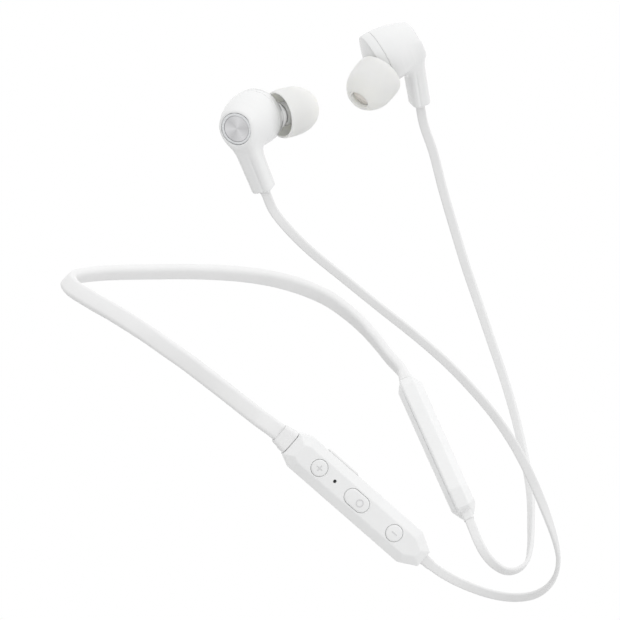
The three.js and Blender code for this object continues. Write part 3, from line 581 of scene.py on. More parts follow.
LEFT_CORD = [
    (0.0953, 0.0186, -0.0589, 0),
    (0.0970, 0.0166, -0.0611, 2),
    (0.0991, 0.0141, -0.0636, 6),
    (0.1015, 0.0121, -0.0661, 12),
    (0.1042, 0.0109, -0.0682, 24),
    (0.1071, 0.0109, -0.0696, 44),
    (0.1096, 0.0120, -0.0694, 68),
    (0.1112, 0.0144, -0.0677, 90),
    (0.1111, 0.0176, -0.0647, 110),
    (0.1098, 0.0224, -0.0602, 126),
    (0.1083, 0.0270, -0.0547, 134),
    (0.1059, 0.0326, -0.0499, 140),
    (0.1025, 0.0388, -0.0438, 146),
    (0.0984, 0.0450, -0.0362, 152),
    (0.0940, 0.0502, -0.0282, 156),
    (0.0895, 0.0544, -0.0201, 158),
    (0.0851, 0.0580, -0.0116, 160),
    (0.0809, 0.0608, -0.0029, 162),
    (0.0771, 0.0630, 0.0063, 165),
    (0.0737, 0.0644, 0.0157, 168),
    (0.0709, 0.0651, 0.0250, 172),
    (0.0687, 0.0644, 0.0318, 178),
    (0.0684, 0.0627, 0.0363, 180),
]


def make_cord(name, route):
    twists = [point[3] for point in route]
    points = np.array([point[:3] for point in route]) / MM
    ribbon = Ribbon(
        points,
        lambda fraction, tangent: turned_about(
            square_to(CORD_FACE, tangent), tangent, read_along(twists, fraction)
        ),
    )
    section = rounded_rectangle(CORD_THICK, CORD_WIDTH, CORD_CORNER)
    rings = ribbon.rings(lambda place: section, CORD_RINGS)
    ends = ribbon.frames(2)[1] * CORD_TUCK
    rings = [rings[0] - ends[0], *rings, rings[-1] + ends[1]]
    cord = new_object(name, *loft(rings), ROUND_CREASE)
    piece(cord, CORD_WHITE, name)
    path = ribbon.frames(CORD_RINGS)[0] * MM


make_cord("right_cord", RIGHT_CORD)
make_cord("left_cord", LEFT_CORD)


# ---- Casings: x along the casing, y across it, z out of its outer face ----
CASE_LENGTH = 43.7
CASE_WIDTH = 9.6
CASE_THICK = 6.3
BEVEL_ACROSS = 2.3
BEVEL_DEEP = 1.6
CASE_WALL = 1.0
NECK_WIDTH = 6.6
NECK_TAPER = 3.4
TAIL_WIDTH = 4.6
TAIL_TAPER = 4.6
EDGE_ROUND = 0.28
EDGE_ANGLE = 12  # degrees: edges that turn more than this are rounded
PARTING = -2.0
SEAM = 0.03
COLLAR_LENGTH = 3.5
BAND_WIDTH = 4.4
BAND_THICK = 2.3
BAND_CLEAR = 0.1
BAND_BORE_CORNER = 0.95

CONTROL_START = np.array([70.4, -46.5, -31.2])
CONTROL_AXIS = np.array([0.661, 0.343, -0.668])
CONTROL_FACE = np.array([0.47, -0.88, 0.0])
BATTERY_START = np.array([70.7, 46.3, -30.5])
BATTERY_AXIS = np.array([0.527, -0.594, -0.608])
BATTERY_FACE = np.array([0.851, 0.34, 0.4])
CONTROL = placed(CONTROL_START, CONTROL_AXIS, CONTROL_FACE)
BATTERY = placed(BATTERY_START, BATTERY_AXIS, BATTERY_FACE)

ROUND_BUTTON_RADIUS = 2.1
PILL_WIDTH = 4.1
PILL_LENGTH = 7.0
VOLUME_UP_AT = 8.8
VOLUME_DOWN_AT = CASE_LENGTH - 10.2
PLAY_AT = (VOLUME_UP_AT + VOLUME_DOWN_AT) / 2
MIC_AT = 13.9
BUTTON_PROUD = 0.3
BUTTON_CLEAR = 0.07
MIC_HOLE_RADIUS = 0.45
MIC_CHAMFER = 0.08
PORT_START = 8.2
COVER_LENGTH = 9.4
COVER_HEIGHT = 2.9
COVER_THICK = 0.6
COVER_PROUD = 0.35
COVER_CORNER = 0.9
COVER_MIDDLE = PORT_START + COVER_LENGTH / 2
RECESS_CLEAR_LONG = 0.2
RECESS_CLEAR_HIGH = 0.15
PORT_FLOOR = 1
PLUG_LENGTH = 0.9
PLUG_CLEAR = 0.45
NOTCH_FROM = 0.25
NOTCH_TO = 0.6
NOTCH_HALF = 0.75
NOTCH_DEEP = 0.12
CONNECTOR_LENGTH = 7.4
CONNECTOR_HEIGHT = 2.1
CASE_TOP = CASE_THICK / 2
CASE_SIDE = CASE_WIDTH / 2
OPENING_DEPTH = 3  # how far past the wall an end's opening is cut
TAIL_CLEAR = 0.2
FAR = 60


def case_outline(inset):
    """The casing's outline seen on its face, with each of its sides moved in."""
    tail = CASE_LENGTH - TAIL_TAPER
    lower = [
        (0, -NECK_WIDTH / 2),
        (NECK_TAPER, -CASE_SIDE),
        (tail, -CASE_SIDE),
        (CASE_LENGTH, -TAIL_WIDTH / 2),
    ]
    corners = np.array(lower + [(x, -y) for x, y in reversed(lower)], float)
    moved_in = []
    for i, corner in enumerate(corners):
        before = unit(corner - corners[i - 1])
        after = unit(corners[(i + 1) % len(corners)] - corner)
        out_before, out_after = np.array([before[1], -before[0]]), np.array([after[1], -after[0]])
        mitre = (out_before + out_after) / (1 + out_before @ out_after)
        moved_in.append(corner - inset * mitre)
    return np.array(moved_in)


def case_body(inset, matrix):
    """The bevelled casing, made smaller all round by an inset."""
    grow = inset * math.hypot(1 / BEVEL_ACROSS, 1 / BEVEL_DEEP)
    deep = BEVEL_DEEP * (1 + grow - inset / BEVEL_ACROSS)
    across = BEVEL_ACROSS * (1 + grow - inset / BEVEL_DEEP)
    rings = []
    for height, shift in (
        (-CASE_TOP + inset, across),
        (-CASE_TOP + deep, inset),
        (CASE_TOP - deep, inset),
        (CASE_TOP - inset, across),
    ):
        outline = case_outline(shift)
        rings.append(np.column_stack([outline, np.full(len(outline), height)]))
    return solid("casing", rings, matrix)


def tail_frame(matrix):
    """A casing's frame turned about its length, so that its z follows the cord's flat face."""
    return placed(matrix[:3, 3], matrix[:3, 0], CORD_FACE)


def case_shell(name, matrix, sign, cuts=()):
    """One half of a casing: hollow, with rounded edges and its openings."""
    shell = case_body(0, matrix)
    shell.name = name
    rounding = shell.modifiers.new("round", "BEVEL")
    rounding.width, rounding.segments = EDGE_ROUND * MM, 4
    rounding.limit_method, rounding.angle_limit = "ANGLE", math.radians(EDGE_ANGLE)
    evaluated(shell)
    low, high = (PARTING + SEAM, FAR) if sign > 0 else (-FAR, PARTING - SEAM)
    half = block((-FAR, -FAR, low), (FAR, FAR, high), matrix)
    combined(shell, [half], "INTERSECT")
    neck = (BAND_WIDTH / 2 + GAP, BAND_THICK / 2 + GAP)
    tail = (CORD_WIDTH / 2 + TAIL_CLEAR, CORD_THICK / 2 + TAIL_CLEAR)
    depth = CASE_WALL + OPENING_DEPTH
    tail_low, tail_high = (CASE_LENGTH - depth, -tail[0], -tail[1]), (FAR, tail[0], tail[1])
    openings = [
        case_body(CASE_WALL, matrix),
        block((-FAR, -neck[0], -neck[1]), (depth, neck[0], neck[1]), matrix),
        block(tail_low, tail_high, tail_frame(matrix)),
    ]
    combined(shell, openings + list(cuts))
    return smooth_faces(shell, SHELL_CREASE)


def make_shells(prefix, matrix, cuts=()):
    """Both halves of a casing, with the cuts made in the outer one."""
    for half, sign, openings in (("front", 1, cuts), ("back", -1, ())):
        name = f"{prefix}_{half}_shell"
        shell = case_shell(name, matrix, sign, openings)
        piece(shell, CASING_WHITE, name)


def outline_at(outline, height):
    return np.column_stack([outline, np.full(len(outline), height)])


def pill_outline(length, width, inset=0.0, at=0.0, sides=12):
    """A pill's outline along x; a circle where its length is its width."""
    radius, straight = width / 2 - inset, (length - width) / 2
    outline = []
    for centre, start in ((straight, -np.pi / 2), (-straight, np.pi / 2)):
        for angle in start + np.linspace(0, np.pi, sides + 1):
            outline.append((at + centre + radius * math.cos(angle), radius * math.sin(angle)))
    return np.array(outline)


def stacked(matrix, layers, length, width, at):
    """A pill-shaped solid through (inset, height) layers."""
    rings = [outline_at(pill_outline(length, width, inset, at), height) for inset, height in layers]
    return solid("stack", rings, matrix)


HOLE_FROM = 0.6
HOLE_OVER = 0.5


def hole_tool(length, width, at, chamfer=0.14):
    """A tool that cuts a hole through the outer face, wider at its mouth."""
    layers = [
        (0, HOLE_FROM),
        (0, CASE_TOP - chamfer),
        (-chamfer, CASE_TOP),
        (-chamfer - HOLE_OVER, CASE_TOP + HOLE_OVER),
    ]
    return stacked(CONTROL, layers, length, width, at)


BUTTON_CROWN = [(0, 0.42), (0.03, 0.3), (0.1, 0.2), (0.22, 0.12), (0.45, 0.07), (0.9, 0.03)]


def button(name, at, length, width, marks):
    """A crowned button in its own body, with a raised mark that is a shade darker."""
    bottom, top = CASE_TOP - CASE_WALL - 0.1, CASE_TOP + BUTTON_PROUD
    crown = [(0, bottom)] + [(inset, top - drop) for inset, drop in BUTTON_CROWN]
    crown += [(width / 2 - 0.5, top), (width / 2 - 0.12, top)]
    cap = stacked(CONTROL, crown, length, width, at)
    smooth_faces(cap, SMALL_CREASE)
    piece(cap, BUTTON_WHITE, name, name)
    mark = combined(marks[0], marks[1:], "UNION")
    piece(smooth_faces(mark, SMALL_CREASE), MARK_GREY, name, name)
    mark.name = f"{name}_mark"


MARK_HEIGHT = 0.09
MARK_LINE = 0.3
MARK_SIZE = 1.7
MARK_ROOT = 0.2
RING_MARK_RADIUS = 0.85
RING_MARK_SHIFT = 0.9
RING_MARK_SIDES = 40


def bar_mark(at, along, turn=0.0):
    """A raised bar with rounded ends, on top of a button."""
    top = CASE_TOP + BUTTON_PROUD
    layers = [(0, top - MARK_ROOT), (0, top + MARK_HEIGHT - 0.04), (0.05, top + MARK_HEIGHT)]
    angle = math.radians(turn)
    cos, sin = math.cos(angle), math.sin(angle)
    local = basis((cos, sin, 0), (-sin, cos, 0), (0, 0, 1), (at, 0, 0))
    return stacked(CONTROL @ local, layers, along, MARK_LINE, 0)


def ring_mark(at, radius):
    top = CASE_TOP + BUTTON_PROUD
    half = MARK_LINE / 2
    profile = [
        (radius - half, top - MARK_ROOT),
        (radius + half, top - MARK_ROOT),
        (radius + half, top + MARK_HEIGHT - 0.03),
        (radius + half - 0.05, top + MARK_HEIGHT),
        (radius - half + 0.05, top + MARK_HEIGHT),
        (radius - half, top + MARK_HEIGHT - 0.03),
    ]
    return lathe(profile, CONTROL @ shifted((at, 0, 0)), RING_MARK_SIDES, "joined")


def make_control_shells():
    recess_floor = CASE_SIDE + COVER_PROUD - COVER_THICK - GAP
    half_recess = COVER_HEIGHT / 2 + RECESS_CLEAR_HIGH
    recess_low = (PORT_START - RECESS_CLEAR_LONG, recess_floor, -half_recess)
    recess_high = (PORT_START + COVER_LENGTH + RECESS_CLEAR_LONG, CASE_SIDE + 1, half_recess)
    half_long, half_high = CONNECTOR_LENGTH / 2 + GAP, CONNECTOR_HEIGHT / 2 + GAP
    port_low = (COVER_MIDDLE - half_long, PORT_FLOOR, -half_high)
    port_high = (COVER_MIDDLE + half_long, CASE_SIDE + 1, half_high)
    port = [block(recess_low, recess_high, CONTROL), block(port_low, port_high, CONTROL)]

    clear = 2 * BUTTON_CLEAR
    round_size, mic_size = 2 * ROUND_BUTTON_RADIUS + clear, 2 * MIC_HOLE_RADIUS
    round_places = (VOLUME_UP_AT, VOLUME_DOWN_AT)
    holes = [hole_tool(round_size, round_size, at) for at in round_places]
    holes.append(hole_tool(PILL_LENGTH + clear, PILL_WIDTH + clear, PLAY_AT))
    holes.append(hole_tool(mic_size, mic_size, MIC_AT, MIC_CHAMFER))
    make_shells("control", CONTROL, port + holes)


def make_buttons():
    size = 2 * ROUND_BUTTON_RADIUS
    plus = [bar_mark(VOLUME_UP_AT, MARK_SIZE), bar_mark(VOLUME_UP_AT, MARK_SIZE, 90)]
    button("volume_up_button", VOLUME_UP_AT, size, size, plus)
    minus = [bar_mark(VOLUME_DOWN_AT, MARK_SIZE)]
    button("volume_down_button", VOLUME_DOWN_AT, size, size, minus)
    ring = [ring_mark(PLAY_AT + RING_MARK_SHIFT, RING_MARK_RADIUS)]
    button("play_button", PLAY_AT, PILL_LENGTH, PILL_WIDTH, ring)


def make_port_cover():
    """A rubber cover with a crowned face, a plug behind it and a notch for a fingernail."""
    outer, inner = CASE_SIDE + COVER_PROUD, CASE_SIDE + COVER_PROUD - COVER_THICK
    layers = [(0.12, inner), (0, inner + 0.12), (0, outer - 0.22), (0.07, outer - 0.08)]
    layers += [(0.22, outer), (0.6, outer + 0.04), (1.1, outer + 0.05)]
    rings = []
    for inset, height in layers:
        long, high = COVER_LENGTH - 2 * inset, COVER_HEIGHT - 2 * inset
        outline = rounded_rectangle(long, high, COVER_CORNER - inset * 0.6)
        along, heights = COVER_MIDDLE + outline[:, 0], np.full(len(outline), height)
        rings.append(np.column_stack([along, heights, outline[:, 1]]))
    cover = solid("port_cover", rings, CONTROL, crease=FIELD_CREASE)

    plug_long, plug_high = CONNECTOR_LENGTH / 2 - 2 * GAP, CONNECTOR_HEIGHT / 2 - PLUG_CLEAR
    plug_low = (COVER_MIDDLE - plug_long, inner - PLUG_LENGTH, -plug_high)
    plug_top = (COVER_MIDDLE + plug_long, inner + 0.1, plug_high)
    combined(cover, [block(plug_low, plug_top, CONTROL)], "UNION")
    notch_low = (PORT_START + NOTCH_FROM, outer - NOTCH_DEEP, -NOTCH_HALF)
    notch_high = (PORT_START + NOTCH_TO, outer + 1, NOTCH_HALF)
    combined(cover, [block(notch_low, notch_high, CONTROL)])
    smooth_faces(cover, SMALL_CREASE)
    piece(cover, SOFT_WHITE, "port_cover", "port_cover")


def tube_piece(name, matrix, outer, bore, material):
    """A hollow sleeve: outer and bore are sections in a row, both from front to back."""
    tube = sleeve(outer + list(reversed(bore)), matrix)
    piece(smooth_faces(tube, SMALL_CREASE), material, name)


def cord_bore(start, end):
    """The sections of a bore that a cord passes through."""
    width, thick = CORD_WIDTH + CORD_CLEAR, CORD_THICK + CORD_CLEAR
    return [(place, width, thick, CORD_CORNER) for place in (start, end)]


def make_collars():
    end = -GAP - COLLAR_LENGTH
    width, thick = BAND_WIDTH + BAND_CLEAR, BAND_THICK + BAND_CLEAR
    bore = [(place, width, thick, BAND_BORE_CORNER) for place in (-0.1, end)]
    stepped = [
        (-0.1, 6.0, 3.2, 1.2), (-0.22, 6.2, 3.45, 1.25), (-1.5, 6.15, 3.45, 1.25),
        (-1.62, 5.9, 3.2, 1.2), (-1.85, 5.75, 3.1, 1.15), (-3.3, 5.45, 2.95, 1.1),
        (end + 0.15, 5.3, 2.85, 1.1), (end, 5.0, 2.65, 1.0),
    ]
    tube_piece("control_collar", CONTROL, stepped, bore, SOFT_WHITE)
    flared = [
        (-0.1, 6.1, 3.3, 1.25), (-0.2, 6.3, 3.5, 1.3), (-0.9, 6.1, 3.4, 1.3),
        (-1.7, 5.7, 3.15, 1.2), (-2.6, 5.2, 2.85, 1.1), (end + 0.1, 4.75, 2.6, 1.05),
        (end, 4.65, 2.5, 1.02),
    ]
    tube_piece("battery_collar", BATTERY, flared, bore, SOFT_WHITE)


RELIEF_LENGTH = 2.4


def make_reliefs():
    """The soft nub where each cord leaves its casing."""
    start, end = CASE_LENGTH - 0.1, CASE_LENGTH + GAP + RELIEF_LENGTH
    bore = cord_bore(start, end)
    outer = [
        (start, 2.9, 1.6, 0.65),
        (start + 0.5, 2.9, 1.6, 0.65),
        (start + 0.65, 2.75, 1.45, 0.6),
        (end - 0.6, 2.62, 1.3, 0.55),
        (end - 0.1, 2.55, 1.22, 0.5),
        (end, 2.45, 1.14, 0.48),
    ]
    for prefix, matrix in (("control", CONTROL), ("battery", BATTERY)):
        name = f"{prefix}_cord_relief"
        tube_piece(name, tail_frame(matrix), outer, bore, CORD_WHITE)


make_control_shells()
make_buttons()
make_port_cover()
make_shells("battery", BATTERY)
make_collars()
make_reliefs()


# ---- Neckband ribbon ----
BAND_HALF = [
    (2.6, -11.5, -0.9), (12.6, -25.2, -2.0), (21.5, -35.6, -3.1), (29.0, -43.6, -4.5),
    (35.6, -49.3, -6.3), (41.5, -53.2, -8.6), (47.0, -55.2, -11.3), (51.6, -55.6, -14.3),
    (56.0, -55.0, -17.6), (60.0, -53.6, -21.0), (64.0, -51.6, -24.6),
]
# The flat face leans by this many degrees round the nape, and then turns to each casing's face
# between these two shares of the way out.
BAND_LEAN = 44
BAND_LEAN_KEPT = 0.3
BAND_LEAN_SET = 0.62
BAND_RINGS = 300
NAPE_HEIGHT = -0.6
UP = np.array([0, 0, 1.0])


def lean_of(face, tangent):
    level = unit(np.cross(UP, tangent))
    return math.degrees(math.atan2(face @ np.cross(tangent, level), face @ level))


def make_band():
    into = CASE_WALL + GAP
    right = [np.array(p) for p in BAND_HALF]
    left = [p * (1, -1, 1) for p in right]
    points = [
        CONTROL_START + CONTROL_AXIS * into,
        CONTROL_START - CONTROL_AXIS * (COLLAR_LENGTH + 1),
        *reversed(right),
        np.array([-BAND_THICK / 2, 0, NAPE_HEIGHT]),
        *left,
        BATTERY_START - BATTERY_AXIS * (COLLAR_LENGTH + 1),
        BATTERY_START + BATTERY_AXIS * into,
    ]
    right_lean = lean_of(CONTROL_FACE, -unit(CONTROL_AXIS))
    left_lean = lean_of(BATTERY_FACE, unit(BATTERY_AXIS))
    nape = (len(points) - 1) / 2
    leans = []
    for i in range(len(points)):
        outward = abs(nape - i) / nape
        blend = min(max((outward - BAND_LEAN_KEPT) / (BAND_LEAN_SET - BAND_LEAN_KEPT), 0), 1)
        casing_lean = right_lean if i < nape else left_lean
        leans.append(BAND_LEAN + (casing_lean - BAND_LEAN) * blend)
    ribbon = Ribbon(
        points,
        lambda fraction, tangent: turned_about(
            unit(np.cross(UP, tangent)), tangent, read_along(leans, fraction)
        ),
    )
    section = rounded_rectangle(BAND_THICK, BAND_WIDTH, BAND_THICK * FLAT_CORNER, 6)
    rings = ribbon.rings(lambda place: section, BAND_RINGS)
    band = new_object("neckband_sleeve", *loft(rings), ROUND_CREASE)
    piece(band, SOFT_WHITE, "neckband_sleeve")


make_band()


# ---- Earpieces: x from the cap to the front, y towards the nozzle, z = x cross y ----
CAP_PLANE = 9.7
CAP_RADIUS = 3.95
CAP_RING_WIDTH = 0.7
DRUM_RADIUS = 7.0
DRUM_WALL = 0.9
DRUM_PROFILE = [
    (-CAP_PLANE, 4.5), (-8.2, 5.2), (-6.2, 5.95), (-4.4, 6.45), (-3.0, 6.75), (-1.4, 6.93),
    (0, DRUM_RADIUS),
]
DRUM_SLANT = 0.97  # turns a radial distance into one square to the sloping wall
DRUM_EDGE_ROUND = 0.7
CAP_WEB = 1.9
CAP_DEEP = 1.1
CAP_CLEAR = 0.04
STEM_DIRECTION = (0.206, 0.162, 0.965)
STEM_LENGTH = 17.2
STEM_WIDTH = 5.4
STEM_ROOT_WIDTH = 6.4
STEM_DEPTH = 4.6
STEM_BACK = 0.7
RIM_LENGTH = 2.3
STEM_CORNER = 1.5
STEM_BLEND = 2.6
STEM_END_ROUND = 0.6
STEM_BORE_DEPTH = 1.1  # half sizes of the bore down the stem
STEM_BORE_WIDTH = 1.65
STEM_BORE_CORNER = 0.5
STEM_BORE_FROM = 4.4
TIP_CENTRE = (6.4, 7.45)
NOZZLE_ANGLE = 29.3
NOZZLE_RADIUS = 2.1
NOZZLE_WALL = 0.6
NOZZLE_REACH = 4.6
TIP_BORE = NOZZLE_RADIUS + GAP
TIP_SLEEVE_BACK = -3.2
FIELD_PITCH = 0.2
GROOVE_AT = 0.7  # a fine groove down the stem, off its middle
GROOVE_HALF = 0.24
GROOVE_DEPTH = 0.2
GROOVE_FROM = 6
GROOVE_FADE = 3

# Where each earpiece's rim is, its x and y directions, and the side its stem goes to.
RIGHT_BUD = ((62.7, -52.0, 48.7), (0.125, 0.982, 0.14), (0.988, -0.135, 0.072), 1)
LEFT_BUD = ((61.7, 52.0, 49.8), (-0.746, -0.497, -0.444), (0.661, -0.638, -0.396), -1)


def smooth_lower(a, b, reach):
    """The smaller of two fields, blended over a reach."""
    share = np.clip(0.5 + 0.5 * (b - a) / reach, 0, 1)
    return b * (1 - share) + a * share - reach * share * (1 - share)


def smooth_upper(a, b, reach):
    return -smooth_lower(-a, -b, reach)


def rounded_bar(x, y, half_x, half_y, corner):
    """Distance from a long bar whose section is a rectangle with round corners."""
    qx, qy = np.abs(x) - (half_x - corner), np.abs(y) - (half_y - corner)
    outside = np.hypot(np.maximum(qx, 0), np.maximum(qy, 0))
    return outside + np.minimum(np.maximum(qx, qy), 0) - corner


def from_field(field, low, high, matrix):
    """A mesh where a field of distances is zero, read on a fine grid in a frame."""
    axes = [np.arange(a, b + FIELD_PITCH, FIELD_PITCH) for a, b in zip(low, high)]
    grid = np.stack(np.meshgrid(*axes, indexing="ij"), -1)
    values = np.clip(field(grid), -1, 1).astype(np.float32)
    volume = openvdb.FloatGrid(1.0)
    volume.copyFromArray(values)
    points, quads = volume.convertToQuads(0.0)
    points = np.asarray(points, float) * FIELD_PITCH + np.array([a[0] for a in axes])
    faces = [tuple(quad) for quad in quads.tolist()]
    return new_object("field", moved(matrix, points), faces, FIELD_CREASE)


def stem_frame(turn):
    """The stem's frame in its earpiece: x through the stem, y across it, z down it."""
    stem = unit(np.array(STEM_DIRECTION) * (1, 1, turn))
    depth = square_to((1, 0, 0), stem)
    return basis(depth, np.cross(stem, depth), stem, (STEM_DEPTH / 2 - CAP_PLANE - STEM_BACK, 0, 0))


def rear_field(turn):
    """The rear housing and its stem as one field of distances, hollow inside."""
    stem = stem_frame(turn)
    places, sizes = zip(*DRUM_PROFILE)

    def field(grid):
        x = grid[..., 0]
        radius = np.hypot(grid[..., 1], grid[..., 2])
        wall = np.interp(x, places, sizes)
        drum = smooth_upper((radius - wall) * DRUM_SLANT, -CAP_PLANE - x, DRUM_EDGE_ROUND)
        local = (grid - stem[:3, 3]) @ stem[:3, :3]
        a, b, along = local[..., 0], local[..., 1], local[..., 2]
        share = np.clip(along / STEM_LENGTH, 0, 1)
        half_width = (STEM_ROOT_WIDTH * (1 - share) + STEM_WIDTH * share) / 2
        bar = rounded_bar(a, b, STEM_DEPTH / 2, half_width, STEM_CORNER)
        groove = np.where(a > 0, np.abs(a - GROOVE_AT), np.abs(b - GROOVE_AT))
        fade = np.clip((along - GROOVE_FROM) / GROOVE_FADE, 0, 1)
        bar = bar + GROOVE_DEPTH * np.exp(-((groove / GROOVE_HALF) ** 2)) * fade
        bar = smooth_upper(bar, along - STEM_LENGTH, STEM_END_ROUND)
        bar = np.maximum(bar, -along)
        solid = np.maximum(smooth_lower(drum, bar, STEM_BLEND), x)
        hollow = np.maximum(radius - (wall - DRUM_WALL), -CAP_PLANE + CAP_WEB - x)
        slot = rounded_bar(a, b, STEM_BORE_DEPTH, STEM_BORE_WIDTH, STEM_BORE_CORNER)
        bore = np.maximum(slot, STEM_BORE_FROM - along)
        recess = np.maximum(radius - CAP_RADIUS - CAP_CLEAR, x + CAP_PLANE - CAP_DEEP)
        return np.maximum(np.maximum(solid, -hollow), np.maximum(-bore, -recess))

    return field


def nozzle_frame():
    """The nozzle's frame in its earpiece: z points out of the nozzle."""
    lean = math.radians(NOZZLE_ANGLE)
    out = np.array([math.cos(lean), math.sin(lean), 0])
    across = np.array([0, 0, 1.0])
    return basis(np.cross(across, out), across, out, (*TIP_CENTRE, 0))


NOZZLE = nozzle_frame()
FRONT_SIDES = 72
RIM_STEP = 0.2  # how far the rim's rounded edge comes in
NECK_WALL = 0.7
INNER_START = 0.6
INNER_LIP = 0.9


def front_rings():
    """The front housing's closed profile: rim, cone, nozzle, and the same again inside."""
    shoulder = TIP_SLEEVE_BACK - GAP
    neck = NOZZLE_RADIUS + NECK_WALL
    drum_out = np.array([1.0, 0, 0])
    drum_up = np.array([0, 0, 1.0])
    nozzle_out = NOZZLE[:3, 2]
    nozzle_at = moved(NOZZLE, [0, 0, shoulder])

    def circle(centre, out, radius):
        side = np.cross(drum_up, out)
        angles = np.linspace(0, 2 * np.pi, FRONT_SIDES, endpoint=False)[:, None]
        return centre + radius * (np.cos(angles) * side + np.sin(angles) * drum_up)

    def drum_ring(place, radius):
        return circle(np.array([place, 0, 0]), drum_out, radius)

    def nozzle_ring(height, radius):
        return circle(moved(NOZZLE, [0, 0, height]), nozzle_out, radius)

    def between(share, big, small, start):
        centre = np.array([start, 0, 0]) * (1 - share) + nozzle_at * share
        out = unit(drum_out * (1 - share) + nozzle_out * share)
        return circle(centre, out, big * (1 - share) + small * share)

    shoulder_radius = DRUM_RADIUS - RIM_STEP
    inner = DRUM_RADIUS - DRUM_WALL
    bore = NOZZLE_RADIUS - NOZZLE_WALL
    outer_shares, inner_shares = np.linspace(0.03, 0.94, 16), np.linspace(0.86, 0.1, 9)
    return [
        drum_ring(0.06, DRUM_RADIUS - 0.1),
        drum_ring(0.16, DRUM_RADIUS),
        drum_ring(RIM_LENGTH - RIM_STEP, DRUM_RADIUS - 0.08),
        drum_ring(RIM_LENGTH, shoulder_radius),
        *[between(share, shoulder_radius, neck, RIM_LENGTH) for share in outer_shares],
        nozzle_ring(shoulder - 0.12, neck),
        nozzle_ring(shoulder, neck - 0.15),
        nozzle_ring(shoulder, NOZZLE_RADIUS + 0.05),
        nozzle_ring(shoulder + 0.1, NOZZLE_RADIUS),
        nozzle_ring(NOZZLE_REACH - 0.15, NOZZLE_RADIUS),
        nozzle_ring(NOZZLE_REACH, NOZZLE_RADIUS - 0.15),
        nozzle_ring(NOZZLE_REACH, bore + 0.1),
        nozzle_ring(NOZZLE_REACH - 0.1, bore),
        nozzle_ring(shoulder - 0.4, bore),
        *[between(share, inner, neck - DRUM_WALL, INNER_START) for share in inner_shares],
        drum_ring(INNER_LIP, inner),
        drum_ring(0.06, inner),
    ]


# The ear tip's closed profile, as (radius, height) in the nozzle's frame: from the back edge over
# the dome, down the bore, and back up the inside.
TIP_OUTLINE = [
    (5.42, -4.12), (5.66, -4.16), (5.86, -3.95), (5.98, -3.3), (6.04, -2.2), (6.05, -0.9),
    (5.98, 0.4), (5.81, 1.6), (5.51, 2.7), (5.08, 3.65), (4.52, 4.5), (3.9, 5.2),
    (3.35, 5.68), (2.95, 5.9), (2.66, 5.92), (2.48, 5.76), (TIP_BORE, 5.5),
    (TIP_BORE, TIP_SLEEVE_BACK + 0.1), (TIP_BORE + 0.1, TIP_SLEEVE_BACK),
    (TIP_BORE + 0.5, TIP_SLEEVE_BACK), (TIP_BORE + 0.6, TIP_SLEEVE_BACK + 0.1),
    (TIP_BORE + 0.6, 2.6), (TIP_BORE + 0.8, 3.25), (3.5, 3.65), (3.95, 3.5), (4.35, 2.95),
    (4.78, 2.25), (5.12, 1.3), (5.36, 0.2), (5.47, -1.0), (5.46, -2.2), (5.35, -3.3),
    (5.27, -3.85),
]


SCREEN_HOLES = ((1, 0), (6, 0.45), (12, 0.9), (18, 1.33), (24, 1.72))  # how many, how far out
SCREEN_HOLE_RADIUS = 0.12
SCREEN_HOLE_SIDES = 8
SCREEN_SIDES = 48
SCREEN_BACK = 0.03
SCREEN_FRONT = 0.2
SCREEN_EDGE = NOZZLE_RADIUS + 0.03
TURNED_SIDES = 96


def make_mesh_screen(matrix):
    """The nozzle's screen: a thin cap with rings of small holes, over the nozzle's end."""
    low, high = NOZZLE_REACH + SCREEN_BACK, NOZZLE_REACH + SCREEN_FRONT
    profile = [(0, low), (SCREEN_EDGE - 0.08, low), (SCREEN_EDGE, low + 0.06)]
    profile += [(SCREEN_EDGE, high - 0.08), (SCREEN_EDGE - 0.13, high), (0, high)]
    hole_low, hole_high = low - 0.1, high + 0.1
    hole = [(0, hole_low), (SCREEN_HOLE_RADIUS, hole_low)]
    hole += [(SCREEN_HOLE_RADIUS, hole_high), (0, hole_high)]
    screen = lathe(profile, matrix, SCREEN_SIDES)
    tools = []
    for count, distance in SCREEN_HOLES:
        for k in range(count):
            angle = 2 * math.pi * k / count
            at = shifted((distance * math.cos(angle), distance * math.sin(angle), 0))
            tools.append(lathe(hole, matrix @ at, SCREEN_HOLE_SIDES))
    return smooth_faces(combined(screen, tools))


CAP_BACK = 0.8  # how far the cap's ring and disc go in behind its face
DISH_MIDDLE = 0.3
DISH_DEPTH = 0.28
DISH_RIPPLE = 0.012  # height of the spun rings, up and down in turn
DISH_STEPS = 34


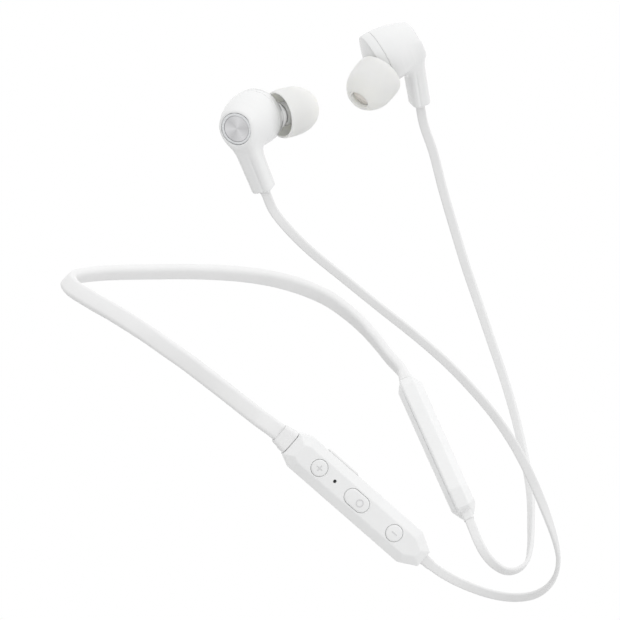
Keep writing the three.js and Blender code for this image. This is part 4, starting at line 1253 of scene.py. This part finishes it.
def make_cap(prefix, matrix):
    """A polished ring round a dished disc with fine spun rings."""
    inner = CAP_RADIUS - CAP_RING_WIDTH
    ring_profile = filleted(
        [
            (inner, -CAP_PLANE + CAP_BACK),
            (inner, -CAP_PLANE + 0.02, 0.06),
            (inner + 0.12, -CAP_PLANE - 0.1, 0.06),
            (CAP_RADIUS - 0.1, -CAP_PLANE - 0.06, 0.08),
            (CAP_RADIUS, -CAP_PLANE + 0.06, 0.05),
            (CAP_RADIUS, -CAP_PLANE + CAP_BACK),
        ]
    )
    ring = lathe(ring_profile, matrix, TURNED_SIDES, "joined", SMALL_CREASE)
    piece(ring, RING_METAL, f"{prefix}_cap_ring")

    edge = inner - 0.05
    dish = []
    for k, radius in enumerate(np.linspace(0.15, edge - 0.08, DISH_STEPS)):
        ripple = DISH_RIPPLE if k % 2 else -DISH_RIPPLE
        dish.append((radius, DISH_MIDDLE - DISH_DEPTH * (radius / edge) ** 2 + ripple))
    disc_profile = [(0, DISH_MIDDLE), *dish, (edge, 0.08), (edge, CAP_BACK), (0, CAP_BACK)]
    disc = lathe(disc_profile, IDENTITY, TURNED_SIDES, crease=ROUND_CREASE)
    turned = matrix @ shifted((0, 0, -CAP_PLANE))
    turned[:3, 3] *= MM
    disc.matrix_world = Matrix(turned.tolist())
    piece(disc, CAP_METAL, f"{prefix}_cap_disc")


def make_grommet(prefix, stem):
    down = stem @ basis((0, 0, 1), (0, 1, 0), (-1, 0, 0))  # x runs down the stem
    start, end = STEM_LENGTH - 0.3, STEM_LENGTH + GAP + 0.6
    outer = [
        (start, 3.0, 1.8, 0.7),
        (end - 0.3, 2.85, 1.55, 0.65),
        (end - 0.08, 2.7, 1.35, 0.6),
        (end, 2.55, 1.2, 0.5),
    ]
    name = f"{prefix}_cord_grommet"
    tube_piece(name, down, outer, cord_bore(start, end), SOFT_WHITE)


FIELD_BOX = (-11, 0.6, 8, 19.5)  # back, front, side, and down the stem


def make_bud(prefix, at, axis, near_y, turn):
    x = unit(axis)
    y = square_to(near_y, x)
    matrix = basis(x, y, np.cross(x, y), at)
    back, front, side, reach = FIELD_BOX
    low = (back, -side, -side if turn > 0 else -reach)
    high = (front, side, reach if turn > 0 else side)
    rear = from_field(rear_field(turn), low, high, matrix)
    piece(rear, BUD_WHITE, f"{prefix}_rear_housing")
    make_cap(prefix, matrix @ ALONG_X)

    front = solid("front", front_rings(), matrix, "joined")
    piece(front, BUD_WHITE, f"{prefix}_front_housing")

    nozzle = matrix @ NOZZLE
    screen = make_mesh_screen(nozzle)
    piece(screen, SCREEN_METAL, f"{prefix}_nozzle_mesh")

    tip_name = f"{prefix}_ear_tip"
    tip = lathe(TIP_OUTLINE, nozzle, TURNED_SIDES, "joined", ROUND_CREASE)
    smoothing = tip.modifiers.new("smooth", "SUBSURF")
    smoothing.levels = smoothing.render_levels = 1
    evaluated(tip)
    piece(tip, SILICONE, tip_name, tip_name)
    make_grommet(prefix, matrix @ stem_frame(turn))


make_bud("right", *RIGHT_BUD)
make_bud("left", *LEFT_BUD)


# ---- CAD nodes that stay: inside the casings, the band and the earpieces ----
KEPT = [
    (SPRING_STEEL, "memory_wire", "volume_up_dome_switch", "play_dome_switch"),
    (SPRING_STEEL, "volume_down_dome_switch", "right_driver_magnet", "left_driver_magnet"),
    (DARK_PLASTIC, "neckband_lead", "microphone", "battery_foam_pad"),
    (DARK_PLASTIC, "right_driver_frame", "left_driver_frame"),
    (DARK_PLASTIC, "right_driver_diaphragm", "left_driver_diaphragm"),
    (BOARD_GREEN, "key_flex_board", "control_board", "protection_board"),
    (TRIM_METAL, "radio_module", "charging_connector"),
    (SOFT_WHITE, "button_membrane"),
    (CELL_FOIL, "battery_cell"),
]
for material, *nodes in KEPT:
    for node in nodes:
        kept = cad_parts[node]
        kept.data.materials.clear()
        kept.data.materials.append(material)

scene = bpy.context.scene
scene.view_settings.view_transform = "Standard"
